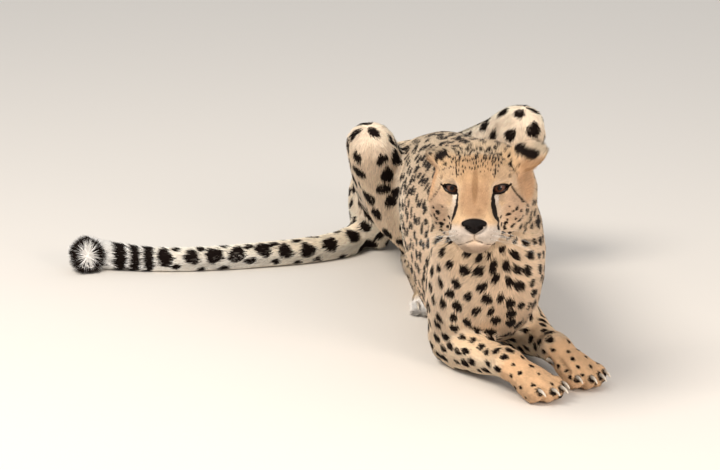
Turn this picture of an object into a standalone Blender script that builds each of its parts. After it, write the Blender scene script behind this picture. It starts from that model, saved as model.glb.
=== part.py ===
"""A life-size cheetah lying on its chest, knees up beside its back, head raised, tail out to its right.

The animal is modelled whole: tubes are lofted along the bones, joined, remeshed and smoothed into one body.
Thin cuts then part that body into the parts a person would name. Eyes, nose pad and claws stay apart.

While it is modelled, +Z is up, the animal faces -Y, +X is its left and the floor is z = 0 under its hips.
Everything is moved at the end, so that the origin is the middle of the whole at floor level. Metres.
"""

import math

import bmesh
import bpy
from mathutils import Matrix, Vector

# ---------------------------------------------------------------- driving sizes
VOXEL = 0.004             # grain of the joined body before it is smoothed
SMOOTH_STEPS = 8          # smoothing passes after the remesh
BODY_TRIANGLES = 3700     # triangles kept on the whole body before it is parted
HEAD_DETAIL = 0.35        # how readily the head is thinned beside the rest
CUT_GAP = 0.0005          # clear gap between two parts
FLOOR = 0.0015            # height at which the flesh is cut flat, above the modelling floor
RING_POINTS = 20          # points round a lofted tube
RING_STEPS = 5            # rings from one station of a loft to the next

EYE_RADIUS = 0.0150       # eyeball
EYE_DEPTH = 0.006         # from the plane of the eye openings back to the eyeball's centre
EYE_SPREAD = 0.0345       # from the head's middle plane to the eyeball's centre
HEAD_TURN = (-8.0, -1.0, -16.0)              # degrees about the head's X, Y and Z: muzzle up, tilt, turn
HEAD_AT = Vector((-0.112, -0.905, 0.3570))   # midway between the eyes

NAPE = Vector((0, 0.092, 0))                 # where the head is parted from the neck, in its own frame
JAW_BOX = ((-0.033, -0.11, -0.12), (0.033, -0.024, -0.0745))   # what of the head is the lower jaw
NOSE_AT = Vector((0, -0.0760, -0.0495))
NOSE_SIZE = (0.0195, 0.010, 0.0115)          # half width, depth and height of the nose pad
NECK_CUT = (Vector((-0.045, -0.70, 0.27)), Vector((-0.2, -0.5, 0.84)))   # a point and the way to the neck

CALF_OUT = 0.006          # how far the calf stands out to the side
FORE_PAW, HIND_PAW = (0.034, 0.024), (0.033, 0.022)   # half width and height of a paw

RIGHT, LEFT = -1, 1       # the animal's own sides, as the sign of X
SIDE_NAME = {RIGHT: "right", LEFT: "left"}
TAIL_SIDE = Vector((0.2, 1, 0.1))
TAIL_HOOK = 8                       # the station where the tail's end starts to hook forwards
UP, ACROSS, AHEAD = Vector((0, 0, 1)), Vector((1, 0, 0)), Vector((0, -1, 0))

# ---------------------------------------------------------------- joints of the skeleton, by side
HIP = {RIGHT: Vector((-0.056, 0.0, 0.145)), LEFT: Vector((0.056, 0.01, 0.150))}
KNEE = {RIGHT: Vector((-0.126, -0.214, 0.257)), LEFT: Vector((0.143, -0.195, 0.270))}
HOCK = {RIGHT: Vector((-0.036, -0.160, 0.038)), LEFT: Vector((0.068, -0.140, 0.038))}
HIND_BALL = {RIGHT: Vector((-0.056, -0.366, 0.024)), LEFT: Vector((0.088, -0.338, 0.024))}
SHOULDER = {RIGHT: Vector((-0.106, -0.745, 0.195)), LEFT: Vector((0.012, -0.715, 0.195))}
ELBOW = {RIGHT: Vector((-0.090, -0.658, 0.044)), LEFT: Vector((0.030, -0.580, 0.046))}
WRIST = {RIGHT: Vector((-0.038, -0.808, 0.046)), LEFT: Vector((0.054, -0.754, 0.048))}
FORE_BALL = {RIGHT: Vector((-0.004, -0.860, 0.026)), LEFT: Vector((0.078, -0.808, 0.026))}

# ---------------------------------------------------------------- plain colours, linear
COAT = (0.62, 0.45, 0.27)
HORN = (0.42, 0.33, 0.22)
AMBER = (0.33, 0.14, 0.04)
NOSE_BLACK = (0.012, 0.010, 0.009)

# ---------------------------------------------------------------- ears, in the head's frame
EAR_ROOT = {RIGHT: Vector((-0.044, 0.056, 0.034)), LEFT: Vector((0.062, 0.050, 0.034))}
EAR_TIP = {RIGHT: Vector((-0.062, 0.105, 0.048)), LEFT: Vector((0.108, 0.064, 0.058))}
EAR_BACK = {RIGHT: Vector((0.10, -0.35, 0.93)), LEFT: Vector((-0.20, -0.62, 0.75))}

# (centre, half width, height above, height below) from the root to the tip, in the ear's own axes
EAR_STATIONS = [
    ((0, -0.016, 0), 0.022, 0.010, 0.010),
    ((0, 0.004, 0), 0.031, 0.012, 0.012),
    ((0, 0.022, 0.002), 0.031, 0.010, 0.009),
    ((0, 0.038, 0.001), 0.025, 0.008, 0.006),
    ((0, 0.049, -0.002), 0.012, 0.004, 0.004),
]

# ---------------------------------------------------------------- a claw, the same way, in the toe's axes
CLAW_STATIONS = [
    ((0, -0.007, 0.001), 0.0018, 0.0028, 0.0028),
    ((0, -0.001, 0.003), 0.0023, 0.0038, 0.0036),
    ((0, 0.005, 0.003), 0.0020, 0.0032, 0.0030),
    ((0, 0.011, 0.000), 0.0014, 0.0021, 0.0020),
    ((0, 0.0145, -0.004), 0.0006, 0.0008, 0.0008),
]


# ---------------------------------------------------------------- shaping tools
def blended(values, at):
    """The smooth curve through equally spaced values, read at a fractional index."""
    last = len(values) - 1
    i = min(int(at), last - 1)
    t = at - i
    a, b, c, d = (values[max(0, min(last, k))] for k in (i - 1, i, i + 1, i + 2))
    slope, bend, twist = c - a, a * 2 - b * 5 + c * 4 - d, b * 3 - a - c * 3 + d
    return b + slope * (t / 2) + bend * (t * t / 2) + twist * (t**3 / 2)


def new_object(name, mesh_of):
    """An object whose mesh is what mesh_of does to an empty bmesh."""
    bm = bmesh.new()
    mesh_of(bm)
    bmesh.ops.recalc_face_normals(bm, faces=bm.faces)
    mesh = bpy.data.meshes.new(name)
    bm.to_mesh(mesh)
    bm.free()
    obj = bpy.data.objects.new(name, mesh)
    bpy.context.scene.collection.objects.link(obj)
    return obj


def superellipse(angle, power):
    """Cosine and sine of a rounded-square ring: power 2 is an ellipse, more is squarer."""
    c, s = math.cos(angle), math.sin(angle)
    return math.copysign(abs(c) ** (2 / power), c), math.copysign(abs(s) ** (2 / power), s)


def loft(name, stations, side_hint=ACROSS, power=2.0, place=None, points=RING_POINTS, steps=RING_STEPS,
         carry_from=1000):
    """A closed tube through stations of (centre, half width, height above, height below).

    Each ring takes its sideways direction from the hint, and from station carry_from on from the ring before.
    """
    last = len(stations) - 1
    centres = [Vector(s[0]) for s in stations]
    sizes = [Vector(s[1:4]) for s in stations]

    def build(bm):
        rings, last_up, hint = [], Vector((0, 0.4, 1)), side_hint
        for k in range(last * steps + 1):
            at = k / steps
            centre, size = blended(centres, at), blended(sizes, at)
            beyond, before = blended(centres, min(at + 0.1, last)), blended(centres, max(at - 0.1, 0))
            tangent = (beyond - before).normalized()
            side = (hint - tangent * hint.dot(tangent)).normalized()
            hint = side if at >= carry_from else side_hint
            up = side.cross(tangent)
            up = up if up.dot(last_up) > 0 else -up
            last_up = up
            ring = []
            for i in range(points):
                c, s = superellipse(math.tau * i / points, power)
                ring.append(centre + side * (c * size[0]) + up * (s * (size[1] if s > 0 else size[2])))
            rings.append([bm.verts.new(p) for p in ring])
        for a, b in zip(rings, rings[1:]):
            for i in range(points):
                bm.faces.new((a[i], a[(i + 1) % points], b[(i + 1) % points], b[i]))
        bm.faces.new(rings[0])
        bm.faces.new(rings[-1][::-1])

    obj = new_object(name, build)
    if place is not None:
        obj.data.transform(place)
    return obj


def ellipsoid(name, centre, radii, place=None, segments=20):
    """An ellipsoid of three radii."""

    def build(bm):
        bmesh.ops.create_uvsphere(bm, u_segments=segments, v_segments=segments // 2, radius=1.0)
        bm.transform(Matrix.Translation(centre) @ Matrix.Diagonal((*radii, 1.0)))

    obj = new_object(name, build)
    if place is not None:
        obj.data.transform(place)
    return obj


def applied(obj):
    """The object with its modifiers made real."""
    graph = bpy.context.evaluated_depsgraph_get()
    mesh = bpy.data.meshes.new_from_object(obj.evaluated_get(graph))
    obj.modifiers.clear()
    obj.data = mesh
    return obj


def dropped(*objects):
    for obj in objects:
        bpy.data.objects.remove(obj)


def joined(name, objects):
    """One object that holds copies of all these meshes."""

    def build(bm):
        for obj in objects:
            bm.from_mesh(obj.data)

    made = new_object(name, build)
    dropped(*objects)
    return made


def boolean(obj, other, operation):
    cut = obj.modifiers.new("cut", "BOOLEAN")
    cut.operation, cut.object, cut.solver = operation, other, "EXACT"
    return applied(obj)


def largest_piece(obj):
    """Keeps the biggest connected piece of a mesh, by its number of faces."""
    bm = bmesh.new()
    bm.from_mesh(obj.data)
    left, pieces = set(bm.faces), []
    while left:
        todo, piece = [left.pop()], []
        while todo:
            face = todo.pop()
            piece.append(face)
            for edge in face.edges:
                for near in edge.link_faces:
                    if near in left:
                        left.discard(near)
                        todo.append(near)
        pieces.append(piece)
    pieces.sort(key=len)
    bmesh.ops.delete(bm, geom=[f for piece in pieces[:-1] for f in piece], context="FACES")
    bm.to_mesh(obj.data)
    bm.free()
    return obj


def triangled(obj):
    """Parts every face into triangles, still one closed mesh.

    Two flat faces can be split along the same line, which then has four faces: one pair gets its own point.
    """
    bm = bmesh.new()
    bm.from_mesh(obj.data)
    bmesh.ops.triangulate(bm, faces=bm.faces)
    bm.normal_update()
    for edge in [e for e in bm.edges if len(e.link_faces) == 4]:
        ends = list(edge.verts)
        first = edge.link_faces[0]
        others = sorted(edge.link_faces[1:], key=lambda face: face.normal.dot(first.normal))
        pair = [first, others[-1]]
        middle = bm.verts.new((ends[0].co + ends[1].co) / 2)
        for face in pair:
            for end in ends:
                bm.faces.new([middle if corner is end else corner for corner in face.verts])
        bmesh.ops.delete(bm, geom=pair, context="FACES_ONLY")
    bm.to_mesh(obj.data)
    bm.free()
    return obj


def swollen(obj, by):
    """The mesh moved outwards along its normals."""
    bm = bmesh.new()
    bm.from_mesh(obj.data)
    bm.normal_update()
    for v in bm.verts:
        v.co += v.normal * by
    bm.to_mesh(obj.data)
    bm.free()
    return obj


# ---------------------------------------------------------------- the flesh, out to the tips of the coat
def trunk():
    """Rump, loin, ribs and chest: (centre, half width, height above, height below) along the spine."""
    return loft("trunk", [
        ((0.000, 0.135, 0.105), 0.020, 0.022, 0.022),
        ((0.000, 0.105, 0.105), 0.056, 0.062, 0.060),
        ((0.000, 0.040, 0.110), 0.080, 0.082, 0.085),
        ((0.000, -0.060, 0.125), 0.080, 0.092, 0.090),
        ((-0.002, -0.170, 0.150), 0.072, 0.106, 0.100),
        ((-0.006, -0.290, 0.165), 0.088, 0.123, 0.116),
        ((-0.012, -0.410, 0.165), 0.102, 0.144, 0.148),
        ((-0.022, -0.530, 0.165), 0.104, 0.158, 0.165),
        ((-0.034, -0.640, 0.185), 0.098, 0.148, 0.155),
        ((-0.042, -0.730, 0.205), 0.084, 0.118, 0.125),
        ((-0.046, -0.785, 0.215), 0.058, 0.080, 0.075),
        ((-0.048, -0.810, 0.218), 0.018, 0.024, 0.024),
    ], power=2.15)


def neck():
    return loft("neck", [
        ((-0.030, -0.560, 0.240), 0.040, 0.045, 0.060),
        ((-0.040, -0.640, 0.262), 0.078, 0.078, 0.110),
        ((-0.054, -0.715, 0.290), 0.084, 0.076, 0.108),
        ((-0.068, -0.780, 0.322), 0.082, 0.074, 0.092),
        ((-0.084, -0.835, 0.344), 0.072, 0.066, 0.080),
        ((-0.098, -0.875, 0.350), 0.036, 0.036, 0.044),
    ])


def tail():
    return loft("tail", tail_stations(), side_hint=TAIL_SIDE, points=14, carry_from=TAIL_HOOK)


def tail_stations(extra=0.0):
    """From the rump, round behind the right haunch and out along the floor, its tip hooked forwards."""
    return larger([
        ((0.000, 0.090, 0.135), 0.020, 0.020, 0.020),
        ((-0.004, 0.125, 0.110), 0.027, 0.027, 0.027),
        ((-0.024, 0.135, 0.060), 0.026, 0.025, 0.025),
        ((-0.072, 0.072, 0.032), 0.025, 0.024, 0.027),
        ((-0.122, 0.002, 0.026), 0.024, 0.024, 0.027),
        ((-0.190, -0.027, 0.024), 0.024, 0.023, 0.026),
        ((-0.280, -0.038, 0.023), 0.023, 0.022, 0.025),
        ((-0.380, -0.040, 0.023), 0.022, 0.021, 0.025),
        ((-0.470, -0.026, 0.023), 0.022, 0.022, 0.025),
        ((-0.530, -0.004, 0.026), 0.024, 0.024, 0.027),
        ((-0.564, 0.010, 0.030), 0.026, 0.026, 0.028),
        ((-0.582, -0.006, 0.033), 0.0285, 0.0285, 0.029),
        ((-0.587, -0.027, 0.034), 0.025, 0.025, 0.025),
        ((-0.587, -0.037 - extra / 2, 0.034), 0.010, 0.010, 0.010),
    ], extra)


def fore_limb(side):
    """Shoulder blade, upper arm, forearm and paw of one side, as separate tubes."""
    shoulder, wrist, ball = SHOULDER[side], WRIST[side], FORE_BALL[side]
    blade_top = Vector((shoulder.x - side * 0.040, -0.610, 0.300))
    level = (wrist - ELBOW[side]).cross(UP).normalized()
    name = SIDE_NAME[side]
    blade = loft(f"blade_{name}", [
        (blade_top, 0.016, 0.020, 0.020),
        (blade_top.lerp(shoulder, 0.25) + ACROSS * side * 0.010, 0.028, 0.055, 0.055),
        (blade_top.lerp(shoulder, 0.65) + ACROSS * side * 0.008, 0.036, 0.058, 0.058),
        (shoulder + UP * 0.010, 0.034, 0.044, 0.044),
        (shoulder - UP * 0.020, 0.020, 0.026, 0.026),
    ])
    arm = loft(f"arm_{name}", upper_arm_stations(side))
    forearm = loft(f"forearm_{name}", forearm_stations(side), side_hint=level)
    return [blade, arm, forearm, *paw(f"fore_{name}", wrist, ball, FORE_PAW)]


def forearm_stations(side, extra=0.0):
    elbow, wrist, ball = ELBOW[side], WRIST[side], FORE_BALL[side]
    along = (wrist - elbow).normalized()
    stations = [
        (elbow - along * 0.034, 0.018, 0.020, 0.020),
        (elbow - along * 0.014, 0.034, 0.038, 0.040),
        (elbow.lerp(wrist, 0.22) + UP * 0.002, 0.038, 0.040, 0.046),
        (elbow.lerp(wrist, 0.55) - UP * 0.003, 0.031, 0.031, 0.034),
        (elbow.lerp(wrist, 0.84) - UP * 0.003, 0.025, 0.025, 0.025),
        (wrist, 0.027, 0.026, 0.025),
        (wrist.lerp(ball, 0.4), 0.026, 0.022, 0.022),
    ]
    return larger(stations, extra)


def upper_arm_stations(side, extra=0.0):
    """The upper arm from the shoulder's point to the elbow, optionally larger all round."""
    shoulder, elbow = SHOULDER[side], ELBOW[side]
    stations = [
        (shoulder + Vector((0, 0.008, 0.030)), 0.022, 0.024, 0.024),
        (shoulder + Vector((0, 0.012, 0.0)), 0.036, 0.045, 0.045),
        (shoulder.lerp(elbow, 0.45) + Vector((side * 0.002, 0.016, 0)), 0.039, 0.056, 0.058),
        (shoulder.lerp(elbow, 0.8) + Vector((0, 0.012, 0)), 0.036, 0.044, 0.046),
        (elbow + Vector((0, 0.010, -0.006)), 0.034, 0.036, 0.036),
        (elbow + Vector((0, 0.014, -0.030)), 0.016, 0.016, 0.016),
    ]
    return larger(stations, extra)


def cutter(stations, side_hint=ACROSS, place=None, carry_from=1000):
    """A plain lofted tool that holds the part it takes off."""
    return loft("cutter", stations, side_hint, 2.0, place, points=12, steps=1, carry_from=carry_from)


def larger(stations, extra):
    return [(centre, *(size + extra for size in sizes)) for centre, *sizes in stations]


def paw_frame(back, ball):
    """Axes of a foot on the floor: across, up and ahead."""
    ahead = Vector((ball.x - back.x, ball.y - back.y, 0)).normalized()
    return ahead.cross(UP), ahead


def toes(back, ball, size):
    """The centres of a foot's four toes, the outer two set back."""
    level, ahead = paw_frame(back, ball)
    for place, reach in zip((-1.5, -0.5, 0.5, 1.5), (0.018, 0.031, 0.031, 0.018)):
        yield ball + ahead * reach + level * (place * size[0] * 0.54) - UP * 0.006


def paw(name, back, ball, size):
    """The pad of a foot and its four toes, pointing on from back through ball."""
    level, ahead = paw_frame(back, ball)
    width, height = size
    frame = Matrix((level, ahead, UP)).transposed().to_4x4()
    pieces = [
        loft(f"{name}_pad", [
            (back.lerp(ball, 0.1), 0.020, 0.018, 0.018),
            (back.lerp(ball, 0.55), width * 0.82, height * 0.9, height * 0.95),
            (ball, width, height * 0.95, height * 1.1),
            (ball + ahead * 0.018 - UP * 0.003, width * 0.86, height * 0.75, height),
            (ball + ahead * 0.028 - UP * 0.006, width * 0.4, height * 0.3, height * 0.4),
        ], side_hint=level)
    ]
    for centre in toes(back, ball, size):
        radii = (width * 0.32, 0.021, height * 0.72)
        pieces.append(ellipsoid(f"{name}_toe", Vector(), radii, place=Matrix.Translation(centre) @ frame))
    return pieces


def hind_limb(side):
    """Thigh, shank and foot of one side, as separate tubes."""
    hip, hock, ball = HIP[side], HOCK[side], HIND_BALL[side]
    name = SIDE_NAME[side]
    return [
        loft(f"thigh_{name}", thigh_stations(side)),
        loft(f"shank_{name}", shank_stations(side)),
        ellipsoid(f"ham_{name}", Vector((hip.x + side * 0.008, 0.046, 0.080)), (0.046, 0.068, 0.082)),
        loft(f"foot_{name}", foot_stations(side)),
        *paw(f"hind_{name}", hock.lerp(ball, 0.85), ball, HIND_PAW),
    ]


def foot_stations(side, extra=0.0):
    hock, ball = HOCK[side], HIND_BALL[side]
    stations = [
        (hock + Vector((0, 0.034, -0.012)), 0.010, 0.012, 0.014),
        (hock + Vector((0, 0.018, -0.006)), 0.022, 0.026, 0.032),
        (hock.lerp(ball, 0.25) - UP * 0.010, 0.023, 0.022, 0.026),
        (hock.lerp(ball, 0.70) - UP * 0.004, 0.023, 0.020, 0.026),
        (ball, 0.024, 0.020, 0.024),
    ]
    return larger(stations, extra)


def thigh_stations(side, extra=0.0):
    hip, knee = HIP[side], KNEE[side]
    out = ACROSS * side
    stations = [
        (hip + Vector((-side * 0.010, 0.070, 0.010)), 0.026, 0.030, 0.030),
        (hip + Vector((side * 0.002, 0.020, -0.005)), 0.046, 0.048, 0.080),
        (hip.lerp(knee, 0.35) + out * 0.004, 0.047, 0.042, 0.088),
        (hip.lerp(knee, 0.70) + out * 0.002, 0.044, 0.037, 0.072),
        (knee + Vector((0, 0.010, 0.000)), 0.039, 0.034, 0.044),
        (knee + AHEAD * 0.022 - UP * 0.006, 0.026, 0.018, 0.024),
    ]
    return larger(stations, extra)


def shank_stations(side, extra=0.0):
    knee, hock = KNEE[side], HOCK[side]
    stations = [
        (knee + UP * 0.012, 0.024, 0.020, 0.020),
        (knee + AHEAD * 0.004 - UP * 0.012, 0.040, 0.036, 0.036),
        (knee.lerp(hock, 0.30) + Vector((0, 0.008, 0)), 0.043, 0.044, 0.042),
        (knee.lerp(hock, 0.60) + Vector((side * CALF_OUT, 0.008, 0)), 0.035 + CALF_OUT, 0.038, 0.034),
        (knee.lerp(hock, 0.85), 0.024, 0.028, 0.024),
        (hock + Vector((0, 0.004, 0.004)), 0.022, 0.026, 0.022),
        (hock - UP * 0.018, 0.012, 0.014, 0.014),
    ]
    return larger(stations, extra)


def shank_tool_stations(side):
    """A straight tube that holds the shank from above the knee to under the hock."""
    knee, hock = KNEE[side], HOCK[side]
    middle = Vector((0, 0.008, 0))
    return [
        (hock.lerp(knee, 1.14), 0.034, 0.028, 0.028),
        (hock.lerp(knee, 1.00), 0.050, 0.042, 0.042),
        (hock.lerp(knee, 0.68) + middle, 0.052, 0.052, 0.050),
        (hock.lerp(knee, 0.36) + middle, 0.044, 0.046, 0.042),
        (hock.lerp(knee, 0.12), 0.033, 0.037, 0.033),
        (hock.lerp(knee, -0.08), 0.028, 0.030, 0.028),
    ]


# ---------------------------------------------------------------- the head
def head_place():
    turn = [Matrix.Rotation(math.radians(a), 4, axis) for a, axis in zip(HEAD_TURN, "XYZ")]
    return Matrix.Translation(HEAD_AT) @ turn[2] @ turn[0] @ turn[1]


def head_flesh(place):
    """The head in its own frame: origin midway between the eyes, -Y along the muzzle."""
    pieces = [
        loft("skull", [
            ((0, 0.128, -0.010), 0.032, 0.030, 0.040),
            ((0, 0.105, -0.010), 0.060, 0.048, 0.062),
            ((0, 0.072, -0.012), 0.071, 0.061, 0.072),
            ((0, 0.040, -0.014), 0.071, 0.063, 0.070),
            ((0, 0.014, -0.022), 0.061, 0.062, 0.062),
            ((0, -0.006, -0.034), 0.047, 0.061, 0.048),
            ((0, -0.022, -0.043), 0.039, 0.056, 0.038),
            ((0, -0.038, -0.048), 0.036, 0.047, 0.034),
            ((0, -0.054, -0.051), 0.035, 0.035, 0.032),
            ((0, -0.068, -0.055), 0.032, 0.025, 0.030),
            ((0, -0.079, -0.057), 0.024, 0.016, 0.022),
        ], place=place, power=2.1),
        ellipsoid("chin", Vector((0, -0.056, -0.081)), (0.024, 0.022, 0.013), place),
        ellipsoid("jaw", Vector((0, -0.008, -0.064)), (0.040, 0.062, 0.025), place),
    ]
    for side in (RIGHT, LEFT):
        pieces += [
            ellipsoid("brow", Vector((side * 0.037, 0.010, 0.017)), (0.024, 0.016, 0.011), place),
            ellipsoid("cheek", Vector((side * 0.038, 0.040, -0.030)), (0.038, 0.054, 0.050), place),
            ellipsoid("temple", Vector((side * 0.047, 0.022, 0.002)), (0.016, 0.026, 0.021), place),
            ellipsoid("cheekbone", Vector((side * 0.043, 0.008, -0.022)), (0.022, 0.030, 0.016), place),
            ellipsoid("whisker_pad", Vector((side * 0.019, -0.060, -0.060)), (0.022, 0.025, 0.019), place),
            ear_flesh(side, place),
        ]
    hollows = []
    for side in (RIGHT, LEFT):
        pit, tear = Vector((side * 0.036, -0.020, -0.001)), Vector((side * 0.035, -0.040, -0.014))
        hollows.append(ellipsoid("pit", pit, (0.015, 0.015, 0.012), place))
        hollows.append(ellipsoid("tear", tear, (0.010, 0.024, 0.013), place))
    return pieces, hollows


def ear_frame(side):
    """The ear's own axes on the head: X across it, Y from its root to its tip, Z out of its back."""
    tip = (EAR_TIP[side] - EAR_ROOT[side]).normalized()
    across = tip.cross(EAR_BACK[side]).normalized()
    turn = Matrix((across, tip, across.cross(tip))).transposed().to_4x4()
    return Matrix.Translation(EAR_ROOT[side]) @ turn


def ear_flesh(side, place):
    """A short rounded ear: a flattened shell, dished on the side its opening faces."""
    shell = loft("ear", EAR_STATIONS)
    dish = ellipsoid("dish", Vector((0, 0.020, -0.016)), (0.021, 0.028, 0.013))
    shell = boolean(shell, dish, "DIFFERENCE")
    dropped(dish)
    shell.data.transform(place @ ear_frame(side))
    return shell


# ---------------------------------------------------------------- assembling
def clear_scene():
    for obj in list(bpy.data.objects):
        bpy.data.objects.remove(obj)


def whole_body(place):
    """Every piece of flesh joined, remeshed, smoothed, thinned and set flat on the floor."""
    pieces, hollows = head_flesh(place)
    pieces += [trunk(), neck(), tail()]
    for side in (RIGHT, LEFT):
        pieces += fore_limb(side) + hind_limb(side)
    body = remeshed(joined("body", pieces))
    for hollow in hollows:
        boolean(body, hollow, "DIFFERENCE")
        dropped(hollow)
    body = remeshed(body)
    smooth = body.modifiers.new("smooth", "SMOOTH")
    smooth.factor, smooth.iterations = 0.5, SMOOTH_STEPS
    plain = body.vertex_groups.new(name="plain")
    body = applied(body)
    to_head = place.inverted()
    for v in body.data.vertices:
        spot = to_head @ v.co
        near = spot.y < 0.10 and abs(spot.x) < 0.11 and abs(spot.z) < 0.11
        plain.add([v.index], HEAD_DETAIL if near else 1.0, "REPLACE")
    thin = body.modifiers.new("thin", "DECIMATE")
    thin.ratio = BODY_TRIANGLES / (2 * len(body.data.polygons))
    thin.vertex_group = "plain"
    body = applied(body)
    return set_down(body)


def remeshed(body):
    remesh = body.modifiers.new("remesh", "REMESH")
    remesh.mode, remesh.voxel_size = "VOXEL", VOXEL
    return applied(body)


def set_down(body):
    """Cuts off what would sink below the floor, which leaves the small flats the animal rests on."""
    above, below = halves(body, Vector((0, 0, FLOOR)), UP)
    dropped(below)
    return above


def halves(obj, at, normal, gap=0.0):
    """The object parted by a plane: what lies on the normal's side, then the rest, both closed."""
    kept = []
    for sign in (1, -1):
        bm = bmesh.new()
        bm.from_mesh(obj.data)
        facing = normal.normalized() * sign
        geometry = [*bm.verts, *bm.edges, *bm.faces]
        point = at + facing * (gap / 2)
        cut = bmesh.ops.bisect_plane(bm, geom=geometry, plane_co=point, plane_no=-facing, clear_outer=True)
        rim = [e for e in cut["geom_cut"] if isinstance(e, bmesh.types.BMEdge)]
        bmesh.ops.edgeloop_fill(bm, edges=rim)
        mesh = bpy.data.meshes.new(obj.name)
        bm.to_mesh(mesh)
        bm.free()
        half = bpy.data.objects.new(obj.name, mesh)
        bpy.context.scene.collection.objects.link(half)
        kept.append(half)
    dropped(obj)
    return kept


def duplicate(obj, name="copy"):
    twin = obj.copy()
    twin.data = obj.data.copy()
    twin.name = name
    bpy.context.scene.collection.objects.link(twin)
    return twin


def carved(body, name, tool):
    """Takes what lies inside the tool off the body, as a part of its own, with a thin gap left between."""
    part = largest_piece(boolean(duplicate(body, name), tool, "INTERSECT"))
    largest_piece(boolean(body, swollen(tool, CUT_GAP), "DIFFERENCE"))
    dropped(tool)
    return part


def parted(obj, at, normal, names):
    """Parts an object by a plane and names the two pieces."""
    pair = halves(obj, at, normal, CUT_GAP)
    for part, name in zip(pair, names):
        part.name = name
        largest_piece(part)
    return pair


def box(name, low, high, place=None):
    def build(bm):
        bmesh.ops.create_cube(bm, size=1.0)
        low_corner, high_corner = Vector(low), Vector(high)
        size = high_corner - low_corner
        bm.transform(Matrix.Translation((low_corner + high_corner) / 2) @ Matrix.Diagonal((*size, 1.0)))

    obj = new_object(name, build)
    if place is not None:
        obj.data.transform(place)
    return obj


def socketed(part, filling):
    """Sinks a filling in the part, in a socket a hair larger than it."""
    hole = swollen(duplicate(filling), CUT_GAP)
    boolean(part, hole, "DIFFERENCE")
    largest_piece(part)
    dropped(hole)
    return filling


def fore_limb_parts(body, side):
    """Forearm, paw and upper arm of one side taken off the body."""
    name = SIDE_NAME[side]
    wrist, ball = WRIST[side], FORE_BALL[side]
    ahead = paw_frame(wrist, ball)[1]
    lower = forearm_stations(side, 0.009)
    lower += [(ball, 0.050, 0.040, 0.040), (ball + ahead * 0.075, 0.050, 0.040, 0.040)]
    across = (wrist - ELBOW[side]).cross(UP).normalized()
    forearm = carved(body, f"forearm_{name}", cutter(lower, side_hint=across))
    paw_names = (f"fore_paw_{name}", f"forearm_{name}")
    parts = parted(forearm, wrist + (ball - wrist) * 0.12, ball - wrist, paw_names)
    outward = ACROSS * side * 0.006
    upper = [(centre + outward, *sizes) for centre, *sizes in upper_arm_stations(side, 0.010)]
    return [*parts, carved(body, f"upper_arm_{name}", cutter(upper))]


def hind_limb_parts(body, side):
    """Foot, shank and thigh of one side taken off the body."""
    name = SIDE_NAME[side]
    hock, ball = HOCK[side], HIND_BALL[side]
    ahead = paw_frame(hock, ball)[1]
    lower = foot_stations(side, 0.008) + [(ball + ahead * 0.070, 0.045, 0.040, 0.040)]
    foot = carved(body, f"hind_foot_{name}", cutter(lower))
    paw_names = (f"hind_paw_{name}", f"hind_foot_{name}")
    parts = parted(foot, hock.lerp(ball, 0.80), ball - hock, paw_names)
    parts.append(carved(body, f"shank_{name}", cutter(shank_tool_stations(side))))
    outward = ACROSS * side * 0.004
    upper = [(centre + outward, *sizes) for centre, *sizes in thigh_stations(side, 0.010)]
    parts.append(carved(body, f"thigh_{name}", cutter(upper)))
    return parts


def tail_parts(body):
    """The tail taken off the rump and parted into four lengths."""
    stations = tail_stations(0.006)
    rest = carved(body, "tail_root", cutter(stations[2:], side_hint=TAIL_SIDE, carry_from=TAIL_HOOK - 2))
    lengths = []
    for index, name in ((9, "tail_tip"), (8, "tail_outer"), (6, "tail_middle")):
        here, before = Vector(stations[index][0]), Vector(stations[index - 1][0])
        far, rest = parted(rest, here, here - before, (name, "tail_root"))
        lengths.append(far)
    return [*lengths, rest]


def claws(side, back, ball, size, name):
    """A short curved claw at the end of each toe."""
    level, ahead = paw_frame(back, ball)
    frame = Matrix((level, ahead, UP)).transposed().to_4x4()
    made = []
    for number, centre in enumerate(toes(back, ball, size), 1):
        at = Matrix.Translation(centre + ahead * 0.015 + UP * 0.004) @ frame
        claw_name = f"claw_{name}_{SIDE_NAME[side]}_{number}"
        made.append(loft(claw_name, CLAW_STATIONS, place=at, points=6, steps=1))
    return made


def dew_claw(side):
    """The small claw set high on the inner side of the fore paw."""
    wrist, ball = WRIST[side], FORE_BALL[side]
    level, ahead = paw_frame(wrist, ball)
    inward = level * (-side if level.x > 0 else side)
    at = wrist.lerp(ball, 0.30) + inward * 0.0245 - UP * 0.008
    frame = Matrix.Translation(at) @ Matrix((level, ahead, UP)).transposed().to_4x4()
    return loft(f"claw_fore_{SIDE_NAME[side]}_5", CLAW_STATIONS, place=frame, points=6, steps=1)


def coloured(obj, colour, roughness):
    """Gives an object its own Principled material and smooth shading."""
    triangled(obj)
    material = bpy.data.materials.new(obj.name)
    material.use_nodes = True
    shader = material.node_tree.nodes["Principled BSDF"]
    shader.inputs["Base Color"].default_value = (*colour, 1.0)
    shader.inputs["Roughness"].default_value = roughness
    shader.inputs["Metallic"].default_value = 0.0
    obj.data.materials.clear()
    obj.data.materials.append(material)
    for polygon in obj.data.polygons:
        polygon.use_smooth = True
    obj.data.set_sharp_from_angle(angle=math.radians(55))


def settled(parts):
    """Moves all the parts so that the origin is the middle of their box, at floor level."""
    corners = [v.co for part in parts for v in part.data.vertices]
    low = [min(c[axis] for c in corners) for axis in range(3)]
    high = [max(c[axis] for c in corners) for axis in range(3)]
    shift = Matrix.Translation((-(low[0] + high[0]) / 2, -(low[1] + high[1]) / 2, -low[2]))
    for part in parts:
        part.data.transform(shift)


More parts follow.
